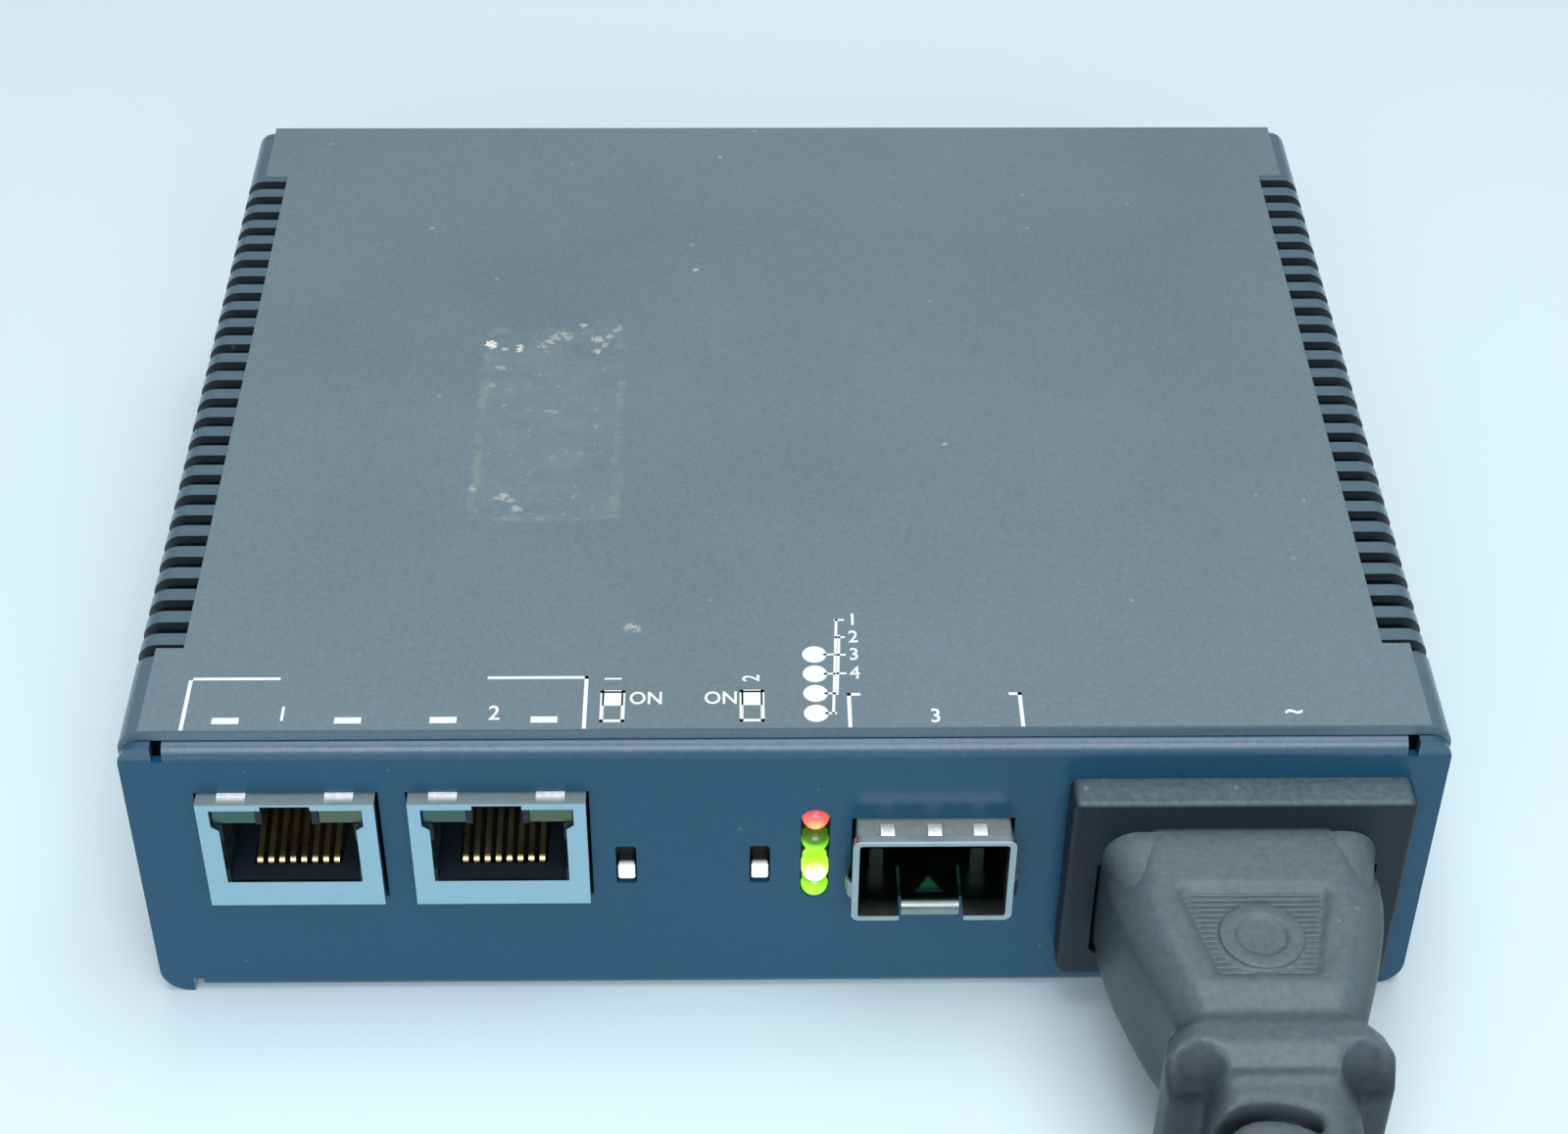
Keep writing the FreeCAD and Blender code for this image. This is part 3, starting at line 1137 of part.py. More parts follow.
def build():
    lamps = lamp_heights()
    pieces = {
        "chassis_base": make_chassis_base(),
        "top_cover": make_top_cover(),
        "top_label": make_top_label(),
        "cover_screws": make_cover_screws(),
        "main_board": circuit_board(
            BOARD_LEFT, BOARD_RIGHT, BOARD_FRONT, BOARD_BACK, BOARD_TOP, BOARD_HOLES),
        "board_standoffs": standoffs(BOARD_HOLES, BOARD_LOW),
        "board_screws": pan_screws(BOARD_HOLES, BOARD_TOP, BOARD_SCREW_L),
        "sfp_cage": make_sfp_cage(),
        "sfp_connector": make_sfp_connector(),
        "lamp_holder": make_lamp_holder(),
        "red_lamp": make_lamp(lamps[0]),
        "green_lamps": group([make_lamp(z) for z in lamps[1:]]),
        "converter_chip": make_converter_chip(),
        "chip_heatsink": make_chip_heatsink(),
        "port_transformers": make_port_transformers(),
        "board_crystal": make_board_crystal(),
        "board_capacitors": make_board_capacitors(),
        "inlet_housing": make_inlet_housing(),
        "inlet_pins": make_inlet_pins(),
        "supply_board": circuit_board(
            SUPPLY_LEFT, SUPPLY_RIGHT, SUPPLY_FRONT, SUPPLY_BACK, SUPPLY_TOP, SUPPLY_HOLES),
        "supply_standoffs": standoffs(SUPPLY_HOLES, SUPPLY_TOP - BOARD_T),
        "supply_screws": pan_screws(SUPPLY_HOLES, SUPPLY_TOP, SUPPLY_SCREW_L),
        "transformer_core": make_transformer_core(),
        "transformer_winding": make_transformer_winding(),
        "bulk_capacitor": make_bulk_capacitor(),
        "output_capacitors": make_output_capacitors(),
        "line_choke": make_line_choke(),
        "mains_fuse": make_mains_fuse(),
        "supply_heatsink": make_supply_heatsink(),
        "supply_transistor": make_supply_transistor(),
        "supply_leads": make_supply_leads(),
        "dc_leads": make_dc_leads(),
        "mains_connector": make_mains_connector(),
        "connector_contacts": make_connector_contacts(),
        "mains_cord": make_cord("mains_cord", LEAD_ROUTE),
        "cord_coil": make_cord_coil(),
        "cord_tail": make_cord("cord_tail", TAIL_ROUTE),
        "wall_plug": make_wall_plug(),
        "wall_plug_blades": make_wall_plug_blades(),
    }
    for (name, _), x, switch_x in zip(SIDES, JACKS_X, SWITCHES_X):
        pieces["jack_shield_" + name] = make_jack_shield(x)
        pieces["jack_housing_" + name] = make_jack_housing(x)
        pieces["jack_contacts_" + name] = make_jack_contacts(x)
        pieces["jack_green_light_" + name] = make_jack_light(x, -1)
        pieces["jack_amber_light_" + name] = make_jack_light(x, 1)
        pieces["switch_body_" + name] = make_switch_body(switch_x)
        pieces["switch_knob_" + name] = make_switch_knob(switch_x)
    return pieces


os.makedirs("parts", exist_ok=True)
for node, shape in build().items():
    if not shape.isValid():
        print("not valid:", node)
    shape.exportStep("parts/" + node + ".step")
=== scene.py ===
import math

import bpy
from mathutils import Euler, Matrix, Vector


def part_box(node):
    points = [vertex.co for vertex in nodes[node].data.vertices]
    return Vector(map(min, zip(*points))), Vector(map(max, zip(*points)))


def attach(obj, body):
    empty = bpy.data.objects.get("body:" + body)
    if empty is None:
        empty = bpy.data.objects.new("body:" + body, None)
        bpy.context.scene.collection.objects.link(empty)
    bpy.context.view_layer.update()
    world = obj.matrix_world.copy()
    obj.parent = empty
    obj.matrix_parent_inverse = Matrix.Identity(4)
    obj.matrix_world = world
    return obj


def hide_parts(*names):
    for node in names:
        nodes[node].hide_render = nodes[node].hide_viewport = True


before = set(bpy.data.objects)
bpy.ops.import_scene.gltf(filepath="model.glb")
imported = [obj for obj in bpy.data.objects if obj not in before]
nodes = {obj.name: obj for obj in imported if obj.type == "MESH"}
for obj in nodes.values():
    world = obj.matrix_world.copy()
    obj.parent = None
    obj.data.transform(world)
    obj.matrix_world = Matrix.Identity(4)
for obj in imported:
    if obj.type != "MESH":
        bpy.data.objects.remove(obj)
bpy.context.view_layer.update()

bl_info = {
    "name": "Media converter dresser",
    "version": (1, 0, 0),
    "blender": (4, 5, 0),
    "location": "3D View > Sidebar > Converter",
    "description": "Finishes, print, lamps and cord for a small network media converter",
    "category": "Object",
}

MM = 0.001
label_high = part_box("top_label")[1]


# ---- properties

def colour_property(name, description, default):
    return bpy.props.FloatVectorProperty(
        name=name, description=description, subtype="COLOR", size=3, min=0.0, max=1.0, default=default)


def number_property(name, description, default, unit="NONE"):
    return bpy.props.FloatProperty(name=name, description=description, default=default, unit=unit)


class ConverterFinish(bpy.types.PropertyGroup):
    # the base's slate coat with painted shade and painted blue bounce light from the floor: darker and bluer than the
    # cover coat
    base_coat: colour_property("Base coat", "Powder coat of the folded base", (0.009, 0.070, 0.138))
    cover_coat: colour_property("Cover coat", "Powder coat of the cover", (0.060, 0.120, 0.165))
    label_film: colour_property("Label film", "Printed film over the top", (0.129, 0.192, 0.228))
    print_ink: colour_property("Print", "Ink of the line work on the film", (0.78, 0.82, 0.83))
    black_plastic: colour_property("Black plastic", "Inlet and port mouldings", (0.010, 0.018, 0.028))
    soft_black: colour_property("Soft black", "Moulded connector and wall plug", (0.100, 0.142, 0.162))
    cord_black: colour_property("Cord jacket", "Vinyl jacket of the mains cord", (0.050, 0.064, 0.076))
    nickel: colour_property("Nickel", "Plating of the port shields", (0.42, 0.60, 0.70))


class ConverterCord(bpy.types.PropertyGroup):
    diameter: number_property("Diameter", "Over the jacket", 7.0 * MM, "LENGTH")
    length: number_property("Length", "From the strain relief to the wall plug", 1.8, "LENGTH")
    outer_radius: number_property("Outer turn", "Radius of the coil's first turn", 53.0 * MM, "LENGTH")
    turns_low: number_property("Lower turns", "Turns that lie on the surface", 4.0)
    turns_top: number_property("Upper turns", "Turns that lie on the lower ones", 2.75)


class ConverterStage(bpy.types.PropertyGroup):
    floor: colour_property("Floor", "Plain pale floor", (0.66, 0.81, 0.88))
    key_power: number_property("Key light", "Strength of the large overhead light", 5.4, "POWER")
    strip_power: number_property("Front strip", "Strength of the strip light in front", 5.0, "POWER")


# ---- modelling helpers

def deselect():
    if bpy.context.object and bpy.context.object.mode != "OBJECT":
        bpy.ops.object.mode_set(mode="OBJECT")
    bpy.ops.object.select_all(action="DESELECT")


def only(piece):
    deselect()
    piece.select_set(True)
    bpy.context.view_layer.objects.active = piece


def settle(piece):
    """Move the piece's place into its mesh, so its object sits at the origin."""
    only(piece)
    bpy.ops.object.transform_apply(location=True, rotation=True, scale=True)


def paint(piece, material):
    """Give a piece one material and no other."""
    piece.data.materials.clear()
    piece.data.materials.append(material)


def place_on_case(piece, material, slot, *stands_for):
    """Finish a new piece that rides on the case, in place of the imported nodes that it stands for."""
    paint(piece, material)
    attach(piece, "case")
    if stands_for:
        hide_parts(*stands_for)


def pick(piece, kind, chosen):
    """Select only the faces or edges that pass a test, and stay in edit mode."""
    bpy.ops.object.mode_set(mode="EDIT")
    bpy.ops.mesh.select_all(action="DESELECT")
    bpy.ops.object.mode_set(mode="OBJECT")
    for item in getattr(piece.data, kind):
        item.select = chosen(item)
    bpy.ops.object.mode_set(mode="EDIT")


# ---- shader effects

def effect_group(name, inputs, outputs):
    """An empty node group with named sockets: each input is (name, type, default)."""
    group = bpy.data.node_groups.new(name, "ShaderNodeTree")
    for label, kind, default in inputs:
        socket = group.interface.new_socket(label, in_out="INPUT", socket_type="NodeSocket" + kind)
        if default is not None:
            socket.default_value = default
    for label, kind in outputs:
        group.interface.new_socket(label, in_out="OUTPUT", socket_type="NodeSocket" + kind)
    start = group.nodes.new("NodeGroupInput")
    end = group.nodes.new("NodeGroupOutput")
    return group, start.outputs, end.inputs


def add(tree, kind, **settings):
    node = tree.nodes.new("ShaderNode" + kind)
    for key, value in settings.items():
        setattr(node, key, value)
    return node


def wire(tree, source, target):
    tree.links.new(source, target)


def put(tree, target, value):
    """Link a socket, or set its value when given a plain one."""
    if isinstance(value, bpy.types.NodeSocket):
        tree.links.new(value, target)
    elif hasattr(value, "__len__") and len(value) == 3 and len(target.default_value) == 4:
        target.default_value = (*value, 1.0)
    else:
        target.default_value = value


def maths(tree, operation, first, second=0.0, third=0.0, clamp=False):
    node = add(tree, "Math", operation=operation, use_clamp=clamp)
    for socket, value in zip(node.inputs, (first, second, third)):
        put(tree, socket, value)
    return node.outputs[0]


def times(tree, first, second):
    return maths(tree, "MULTIPLY", first, second)


def minus(tree, first, second):
    return maths(tree, "SUBTRACT", first, second)


def size_of(tree, value):
    return maths(tree, "ABSOLUTE", value)


def parts(tree, place):
    """The X, Y and Z of a place."""
    split = add(tree, "SeparateXYZ")
    wire(tree, place, split.inputs[0])
    return tuple(split.outputs)


def far_from(tree, place, centre):
    node = add(tree, "VectorMath", operation="DISTANCE")
    put(tree, node.inputs[0], place)
    put(tree, node.inputs[1], centre)
    return node.outputs["Value"]


def noise(tree, place, scale, detail=2.0, roughness=0.5):
    node = add(tree, "TexNoise")
    put(tree, node.inputs["Vector"], place)
    put(tree, node.inputs["Scale"], scale)
    put(tree, node.inputs["Detail"], detail)
    put(tree, node.inputs["Roughness"], roughness)
    return node.outputs["Fac"]


def spread(tree, value, low, high, out_low=0.0, out_high=1.0):
    node = add(tree, "MapRange")
    for key, item in (("Value", value), ("From Min", low), ("From Max", high),
                      ("To Min", out_low), ("To Max", out_high)):
        put(tree, node.inputs[key], item)
    return node.outputs["Result"]


def blend_colours(tree, factor, first, second):
    node = add(tree, "Mix", data_type="RGBA")
    put(tree, node.inputs[0], factor)
    put(tree, node.inputs[6], first)
    put(tree, node.inputs[7], second)
    return node.outputs[2]


def make_mottle():
    """Two sizes of colour mottling round a middle colour."""
    group, start, end = effect_group("Mottle", (
        ("Place", "Vector", None), ("Grain", "Float", 1500.0), ("Cloud", "Float", 60.0),
        ("Contrast", "Float", 0.2), ("Colour", "Color", (0.5, 0.5, 0.5, 1.0))), (("Colour", "Color"),))
    fine = noise(group, start["Place"], start["Grain"], 3.0, 0.6)
    cloud = noise(group, start["Place"], start["Cloud"], 3.0, 0.55)
    fine = minus(group, fine, 0.5)
    cloud = minus(group, cloud, 0.5)
    total = maths(group, "MULTIPLY_ADD", cloud, 0.5, fine)
    gain = maths(group, "MULTIPLY_ADD", total, start["Contrast"], 1.0)
    mix = add(group, "VectorMath", operation="SCALE")
    wire(group, start["Colour"], mix.inputs[0])
    wire(group, gain, mix.inputs["Scale"])
    wire(group, mix.outputs[0], end["Colour"])
    return group


def make_grain():
    """Height of a moulded or sprayed grain, between 0 and 1."""
    group, start, end = effect_group("Grain", (
        ("Place", "Vector", None), ("Scale", "Float", 2000.0), ("Detail", "Float", 2.0)), (("Height", "Float"),))
    wire(group, noise(group, start["Place"], start["Scale"], start["Detail"], 0.6), end["Height"])
    return group


def make_handling():
    """Roughness that varies in soft patches, as from handling and wiping."""
    group, start, end = effect_group("Handling", (
        ("Place", "Vector", None), ("Scale", "Float", 40.0), ("Low", "Float", 0.35), ("High", "Float", 0.5)),
        (("Roughness", "Float"),))
    patches = noise(group, start["Place"], start["Scale"], 4.0, 0.6)
    wire(group, spread(group, patches, 0.3, 0.7, start["Low"], start["High"]), end["Roughness"])
    return group


def make_specks():
    """Scattered small specks of dust: a mask."""
    group, start, end = effect_group("Specks", (
        ("Place", "Vector", None), ("Scale", "Float", 600.0), ("Size", "Float", 0.12), ("Share", "Float", 0.1)),
        (("Mask", "Float"),))
    cells = add(group, "TexVoronoi")
    wire(group, start["Place"], cells.inputs["Vector"])
    wire(group, start["Scale"], cells.inputs["Scale"])
    inside = maths(group, "LESS_THAN", cells.outputs["Distance"], start["Size"])
    split = add(group, "SeparateColor")
    wire(group, cells.outputs["Color"], split.inputs[0])
    chosen = maths(group, "LESS_THAN", split.outputs[0], start["Share"])
    wire(group, times(group, inside, chosen), end["Mask"])
    return group


def make_patch():
    """A soft-edged rectangular patch on the flat top, broken up by noise: a mask."""
    group, start, end = effect_group("Patch", (
        ("Place", "Vector", None), ("Centre X", "Float", 0.0), ("Centre Y", "Float", 0.0),
        ("Half X", "Float", 0.01), ("Half Y", "Float", 0.01), ("Edge", "Float", 0.001)), (("Mask", "Float"),))
    masks = []
    for axis, spot in zip(("X", "Y"), parts(group, start["Place"])):
        away = minus(group, spot, start["Centre " + axis])
        away = minus(group, size_of(group, away), start["Half " + axis])
        ragged = minus(group, noise(group, start["Place"], 300.0, 3.0, 0.6), 0.5)
        away = maths(group, "ADD", away, times(group, ragged, 0.002))
        inside = maths(group, "DIVIDE", times(group, away, -1.0), start["Edge"], clamp=True)
        masks.append(inside)
    wire(group, times(group, masks[0], masks[1]), end["Mask"])
    return group


def make_dab():
    """A ragged round fleck at a place on the flat top: a mask."""
    group, start, end = effect_group("Dab", (
        ("Place", "Vector", None), ("Centre", "Vector", (0.0, 0.0, 0.0)), ("Reach", "Float", 0.001),
        ("Ragged", "Float", 2.6)), (("Mask", "Float"),))
    share = maths(group, "DIVIDE", far_from(group, start["Place"], start["Centre"]), start["Reach"])
    ragged = times(group, minus(group, noise(group, start["Place"], 1400.0, 3.0, 0.7), 0.5), start["Ragged"])
    wire(group, spread(group, maths(group, "ADD", share, ragged), 0.95, 0.45), end["Mask"])
    return group


def make_height_band():
    """A mask between two heights, broken up by noise, for what lies high on a piece: it places painted light on top
    faces and spring fingers, and the edge of the soft moulding's painted shade.
    """
    group, start, end = effect_group("Settled", (
        ("Place", "Vector", None), ("Low", "Float", 0.0), ("High", "Float", 0.001)), (("Mask", "Float"),))
    height = spread(group, parts(group, start["Place"])[2], start["Low"], start["High"])
    broken = spread(group, noise(group, start["Place"], 1300.0, 4.0, 0.7), 0.3, 0.6, 0.72, 1.0)
    wire(group, times(group, height, broken), end["Mask"])
    return group


def make_depth():
    """How far a spot lies behind a front plane: a mask between two depths along Y."""
    group, start, end = effect_group("Depth", (
        ("Place", "Vector", None), ("Near", "Float", 0.0), ("Far", "Float", 0.001)), (("Mask", "Float"),))
    wire(group, spread(group, parts(group, start["Place"])[1], start["Near"], start["Far"]), end["Mask"])
    return group


def make_slot_walls():
    """The cut walls of a row of slots across both top bends: a mask."""
    group, start, end = effect_group("Slot walls", (
        ("Place", "Vector", None), ("Pitch", "Float", 0.003), ("Half", "Float", 0.0008),
        ("Inner", "Float", 0.055), ("Low", "Float", 0.029), ("Reach", "Float", 0.04)), (("Mask", "Float"),))
    x, y, z = parts(group, start["Place"])
    share = maths(group, "FRACT", maths(group, "DIVIDE", y, start["Pitch"]))
    off = times(group, size_of(group, minus(group, share, 0.5)), start["Pitch"])
    mask = maths(group, "LESS_THAN", off, start["Half"])
    for test in (maths(group, "GREATER_THAN", size_of(group, x), start["Inner"]),
                 maths(group, "GREATER_THAN", z, start["Low"]),
                 maths(group, "LESS_THAN", size_of(group, y), start["Reach"])):
        mask = times(group, mask, test)
    wire(group, mask, end["Mask"])
    return group


EFFECTS = {}


def effect(tree, name, place, **inputs):
    """Place one of the shared effects in a material and return its output."""
    node = add(tree, "Group", node_tree=EFFECTS[name])
    wire(tree, place, node.inputs["Place"])
    for key, value in inputs.items():
        put(tree, node.inputs[key.replace("_", " ")], value)
    return node.outputs[0]


def surface(name, colour=None, roughness=0.5, metallic=0.0):
    """A new material: its tree, its shader and the object's own coordinates."""
    material = bpy.data.materials.new(name)
    material.use_nodes = True
    tree = material.node_tree
    shader = tree.nodes["Principled BSDF"]
    if colour is not None:
        put(tree, shader.inputs["Base Color"], colour)
    shader.inputs["Roughness"].default_value = roughness
    shader.inputs["Metallic"].default_value = metallic
    place = add(tree, "TexCoord").outputs["Object"]
    return material, tree, shader, place


def bump(tree, shader, height, distance, strength=1.0):
    node = add(tree, "Bump")
    put(tree, node.inputs["Height"], height)
    node.inputs["Distance"].default_value = distance
    node.inputs["Strength"].default_value = strength
    wire(tree, node.outputs[0], shader.inputs["Normal"])


# ---- materials

def speckled(tree, shader, place, tone, colour, strength, **specks):
    """Wire the base colour, with scattered specks of another colour over it."""
    share = times(tree, effect(tree, "Specks", place, **specks), strength)
    wire(tree, blend_colours(tree, share, tone, colour), shader.inputs["Base Color"])


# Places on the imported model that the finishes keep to, in millimetres
CAGE_TOP = 22.9
CAGE_FACE = -53.9
SHIELD_TOP = 26.6
KNOB_TIP = -50.75
BEND_RUBBED_LOW = 30.8
BEND_RUBBED_HIGH = 31.2
SLOT_PITCH = 3.12
SLOT_HALF_WIDTH = 0.79
SLOTS_INNER_X = 55.26
SLOTS_LOW_Z = 28.9
SLOTS_REACH_Y = 39.9


def powder_coat(name, colour, slots=False):
    """Sprayed coat with fine grain; painted shade darkens the slots' cut walls nearly to black."""
    material, tree, shader, place = surface(name)
    coat = effect(tree, "Mottle", place, Grain=2600.0, Cloud=45.0, Contrast=0.35, Colour=colour)
    if slots:
        walls = effect(tree, "Slot walls", place, Pitch=SLOT_PITCH * MM, Half=SLOT_HALF_WIDTH * MM,
                       Inner=SLOTS_INNER_X * MM, Low=SLOTS_LOW_Z * MM, Reach=SLOTS_REACH_Y * MM)
        # painted shade: the slots' cut walls are blended nearly to black
        coat = blend_colours(tree, times(tree, walls, 0.88), coat, (0.004, 0.006, 0.010))
    speckled(tree, shader, place, coat, (0.30, 0.36, 0.40), 0.2, Scale=700.0, Size=0.13, Share=0.03)
    wire(tree, effect(tree, "Handling", place, Scale=55.0, Low=0.24, High=0.33), shader.inputs["Roughness"])
    shader.inputs["Specular IOR Level"].default_value = 0.4
    rubbed = effect(tree, "Settled", place, Low=BEND_RUBBED_LOW * MM, High=BEND_RUBBED_HIGH * MM)
    wire(tree, rubbed, shader.inputs["Coat Weight"])
    shader.inputs["Coat Roughness"].default_value = 0.48
    shader.inputs["Coat IOR"].default_value = 1.7
    bump(tree, shader, effect(tree, "Grain", place, Scale=1900.0, Detail=2.0), 0.05 * MM, 0.55)
    return material


# The trace of a removed sticker on the label: its middle, half its size and its soft edge
STICKER_MIDDLE = (-23.3, -5.0)
STICKER_HALF = (7.6, 16.0)
STICKER_EDGE = 1.2
# Flecks of old adhesive on the label: place and radius in millimetres, and strength
FLECKS = (
    (-30.1, 8.1, 0.72, 1.0), (-27.0, 7.5, 0.60, 0.9), (-28.6, 7.3, 0.45, 0.4), (-24.7, 8.0, 0.55, 0.26),
    (-24.0, 8.7, 0.6, 0.30), (-23.3, 9.3, 0.7, 0.24), (-22.5, 9.9, 0.55, 0.30), (-21.9, 9.2, 0.5, 0.22),
    (-20.6, 11.6, 0.5, 0.35), (-18.9, 9.0, 0.7, 0.34), (-17.8, 9.5, 0.6, 0.26), (-18.2, 8.1, 0.5, 0.24),
    (-18.9, 6.9, 0.5, 0.42), (-16.9, 10.8, 0.7, 0.24), (-28.9, 4.2, 0.6, 0.24), (-29.6, 1.0, 0.6, 0.18),
    (-27.4, -17.0, 0.7, 0.30), (-26.6, -17.7, 0.6, 0.22), (-25.9, -19.0, 0.7, 0.26), (-30.4, -15.8, 0.5, 0.28),
    (-14.4, -36.2, 0.7, 0.28), (-13.7, -36.6, 0.5, 0.22), (-8.8, 21.8, 0.3, 0.5), (-6.2, 44.5, 0.3, 0.4),
    (16.5, -9.0, 0.3, 0.35), (-38.0, 30.0, 0.25, 0.3))


def label_film(colour):
    """The film's colour with faint speckle, the trace of a removed sticker and its flecks."""
    material, tree, shader, place = surface("Label film")
    film = effect(tree, "Mottle", place, Grain=3200.0, Cloud=30.0, Contrast=0.55, Colour=colour)
    stain = effect(tree, "Patch", place, Centre_X=STICKER_MIDDLE[0] * MM, Centre_Y=STICKER_MIDDLE[1] * MM,
                   Half_X=STICKER_HALF[0] * MM, Half_Y=STICKER_HALF[1] * MM, Edge=STICKER_EDGE * MM)
    broken = spread(tree, noise(tree, place, 230.0, 5.0, 0.65), 0.40, 0.68)
    dull = blend_colours(tree, times(tree, stain, times(tree, broken, 0.36)), film, (0.215, 0.275, 0.265))
    rim = times(tree, stain, minus(tree, 1.0, stain))
    worn = spread(tree, noise(tree, place, 420.0, 4.0, 0.7), 0.42, 0.62, 0.0, 1.3)
    dull = blend_colours(tree, times(tree, rim, worn), dull, (0.29, 0.33, 0.29))
    crumbs = spread(tree, noise(tree, place, 1000.0, 4.0, 0.75), 0.60, 0.74)
    tone = blend_colours(tree, times(tree, times(tree, stain, crumbs), 0.45), dull, (0.5, 0.56, 0.50))
    for x, y, reach, strength in FLECKS:
        dab = effect(tree, "Dab", place, Centre=(x * MM, y * MM, label_high.z), Reach=reach * MM, Ragged=3.4)
        tone = blend_colours(tree, times(tree, dab, 0.85 * strength), tone, (0.88, 0.88, 0.78))
    speckled(tree, shader, place, tone, (0.46, 0.52, 0.54), 0.22, Scale=430.0, Size=0.12, Share=0.04)
    wire(tree, effect(tree, "Handling", place, Scale=35.0, Low=0.5, High=0.62), shader.inputs["Roughness"])
    bump(tree, shader, effect(tree, "Grain", place, Scale=3000.0, Detail=2.0), 0.03 * MM, 0.5)
    return material


def textured_plastic(name, colour, grain=2400.0, depth=0.06, low=0.42, high=0.55, gloss=0.3,
                     dust=None, blotch=0.9, hollow_shade=()):
    """Moulded plastic with grain from low to high roughness.

    The upper tone, as (low height, high height, colour), gives faces high on the piece another colour: on the inlet a
    lighter top, painted as sheen from above; on the soft moulding its own colour over a body painted dark as shade.
    The hollows, each (x, y, z, reach), are painted darker as shade, and made rougher.
    """
    material, tree, shader, place = surface(name)
    body = effect(tree, "Mottle", place, Grain=grain, Cloud=80.0, Contrast=0.5, Colour=colour)
    # painted light and shade: faces above the two heights take the upper tone, and what lies lower keeps the body's
    # colour
    if dust:
        upper_mask = effect(tree, "Settled", place, Low=dust[0] * MM, High=dust[1] * MM)
        film = effect(tree, "Mottle", place, Grain=1500.0, Cloud=200.0, Contrast=blotch, Colour=dust[2])
        body = blend_colours(tree, upper_mask, body, film)
    rough = effect(tree, "Handling", place, Scale=90.0, Low=low, High=high)
    # painted shade: each hollow is blended dark and made rougher
    for x, y, z, reach in hollow_shade:
        hollow = effect(tree, "Dab", place, Centre=Vector((x, y, z)) * MM, Reach=reach * MM, Ragged=0.2)
        body = blend_colours(tree, hollow, body, (0.012, 0.020, 0.030))
        rough = maths(tree, "MULTIPLY_ADD", hollow, 0.3, rough)
    speckled(tree, shader, place, body, (0.4, 0.42, 0.43), 0.2, Scale=520.0, Size=0.14, Share=0.05)
    shader.inputs["Specular IOR Level"].default_value = gloss
    wire(tree, rough, shader.inputs["Roughness"])
    bump(tree, shader, effect(tree, "Grain", place, Scale=grain, Detail=3.0), depth * MM, 0.7)
    return material


def plate(name, colour, contrast, low, high):
    """The common part of every plating, with its colour and its roughness still to be wired."""
    material, tree, shader, place = surface(name)
    metal = effect(tree, "Mottle", place, Grain=700.0, Cloud=120.0, Contrast=contrast, Colour=colour)
    rough = effect(tree, "Handling", place, Scale=260.0, Low=low, High=high)
    bump(tree, shader, effect(tree, "Grain", place, Scale=500.0, Detail=2.0), 0.01 * MM, 0.3)
    return material, tree, shader, place, metal, rough


def above(tree, place, level, low, high):
    """A mask that grows from low to high over a level, all in millimetres."""
    return effect(tree, "Settled", place, Low=(level + low) * MM, High=(level + high) * MM)


def behind(tree, place, face, near, far):
    """A mask that grows from near to far behind a face, all in millimetres."""
    return effect(tree, "Depth", place, Near=(face + near) * MM, Far=(face + far) * MM)


def less_metal(tree, shader, haze):
    """Haze on a plating scatters light as a plain surface does."""
    wire(tree, minus(tree, 1.0, times(tree, haze, 0.9)), shader.inputs["Metallic"])


def plated(name, colour, low, high):
    """Plain plating, the same all over."""
    material, tree, shader, _, metal, rough = plate(name, colour, 0.1, low, high)
    shader.inputs["Metallic"].default_value = 1.0
    wire(tree, metal, shader.inputs["Base Color"])
    wire(tree, rough, shader.inputs["Roughness"])
    return material


def cage_plate(colour):
    """Plating with a pale, less metallic tone on the cage's top, painted shade darkening it inside, and a painted
    highlight, near white, on the spring fingers.
    """
    material, tree, shader, place, metal, rough = plate("Cage plate", colour, 0.3, 0.26, 0.42)
    haze = effect(tree, "Mottle", place, Grain=1800.0, Cloud=300.0, Contrast=0.7, Colour=(0.20, 0.25, 0.25))
    top = above(tree, place, CAGE_TOP, -0.3, -0.1)
    hazy = times(tree, top, behind(tree, place, CAGE_FACE, 0.85, 1.0))
    # painted shade: a dark tone inside the cage, behind its face
    inside = times(tree, behind(tree, place, CAGE_FACE, 1.0, 2.2), minus(tree, 1.0, top))
    tone = blend_colours(tree, inside, metal, (0.07, 0.085, 0.085))
    tone = blend_colours(tree, hazy, tone, haze)
    fingers = above(tree, place, CAGE_TOP, 0.02, 0.1)
    # painted highlight: the spring fingers blended near white
    wire(tree, blend_colours(tree, fingers, tone, (0.80, 0.82, 0.84)), shader.inputs["Base Color"])
    less_metal(tree, shader, hazy)
    wire(tree, maths(tree, "MULTIPLY_ADD", hazy, 0.25, rough), shader.inputs["Roughness"])
    return material


def shield_plate(colour):
    """Bright plating with a painted reflection on the port's top, a pale, less metallic tone, and a painted
    highlight, near white, on the spring fingers.
    """
    material, tree, shader, place, metal, rough = plate("Shield plate", colour, 0.1, 0.16, 0.3)
    haze = effect(tree, "Mottle", place, Grain=1800.0, Cloud=300.0, Contrast=0.3, Colour=(0.20, 0.26, 0.265))
    top = above(tree, place, SHIELD_TOP, -0.12, -0.04)
    # painted reflection: the port's top blended to a pale grey
    tone = blend_colours(tree, top, metal, haze)
    fingers = above(tree, place, SHIELD_TOP, 0.04, 0.16)
    # painted highlight: the spring fingers blended near white
    wire(tree, blend_colours(tree, fingers, tone, (0.95, 0.96, 0.98)), shader.inputs["Base Color"])
    less_metal(tree, shader, top)
    wire(tree, rough, shader.inputs["Roughness"])
    return material


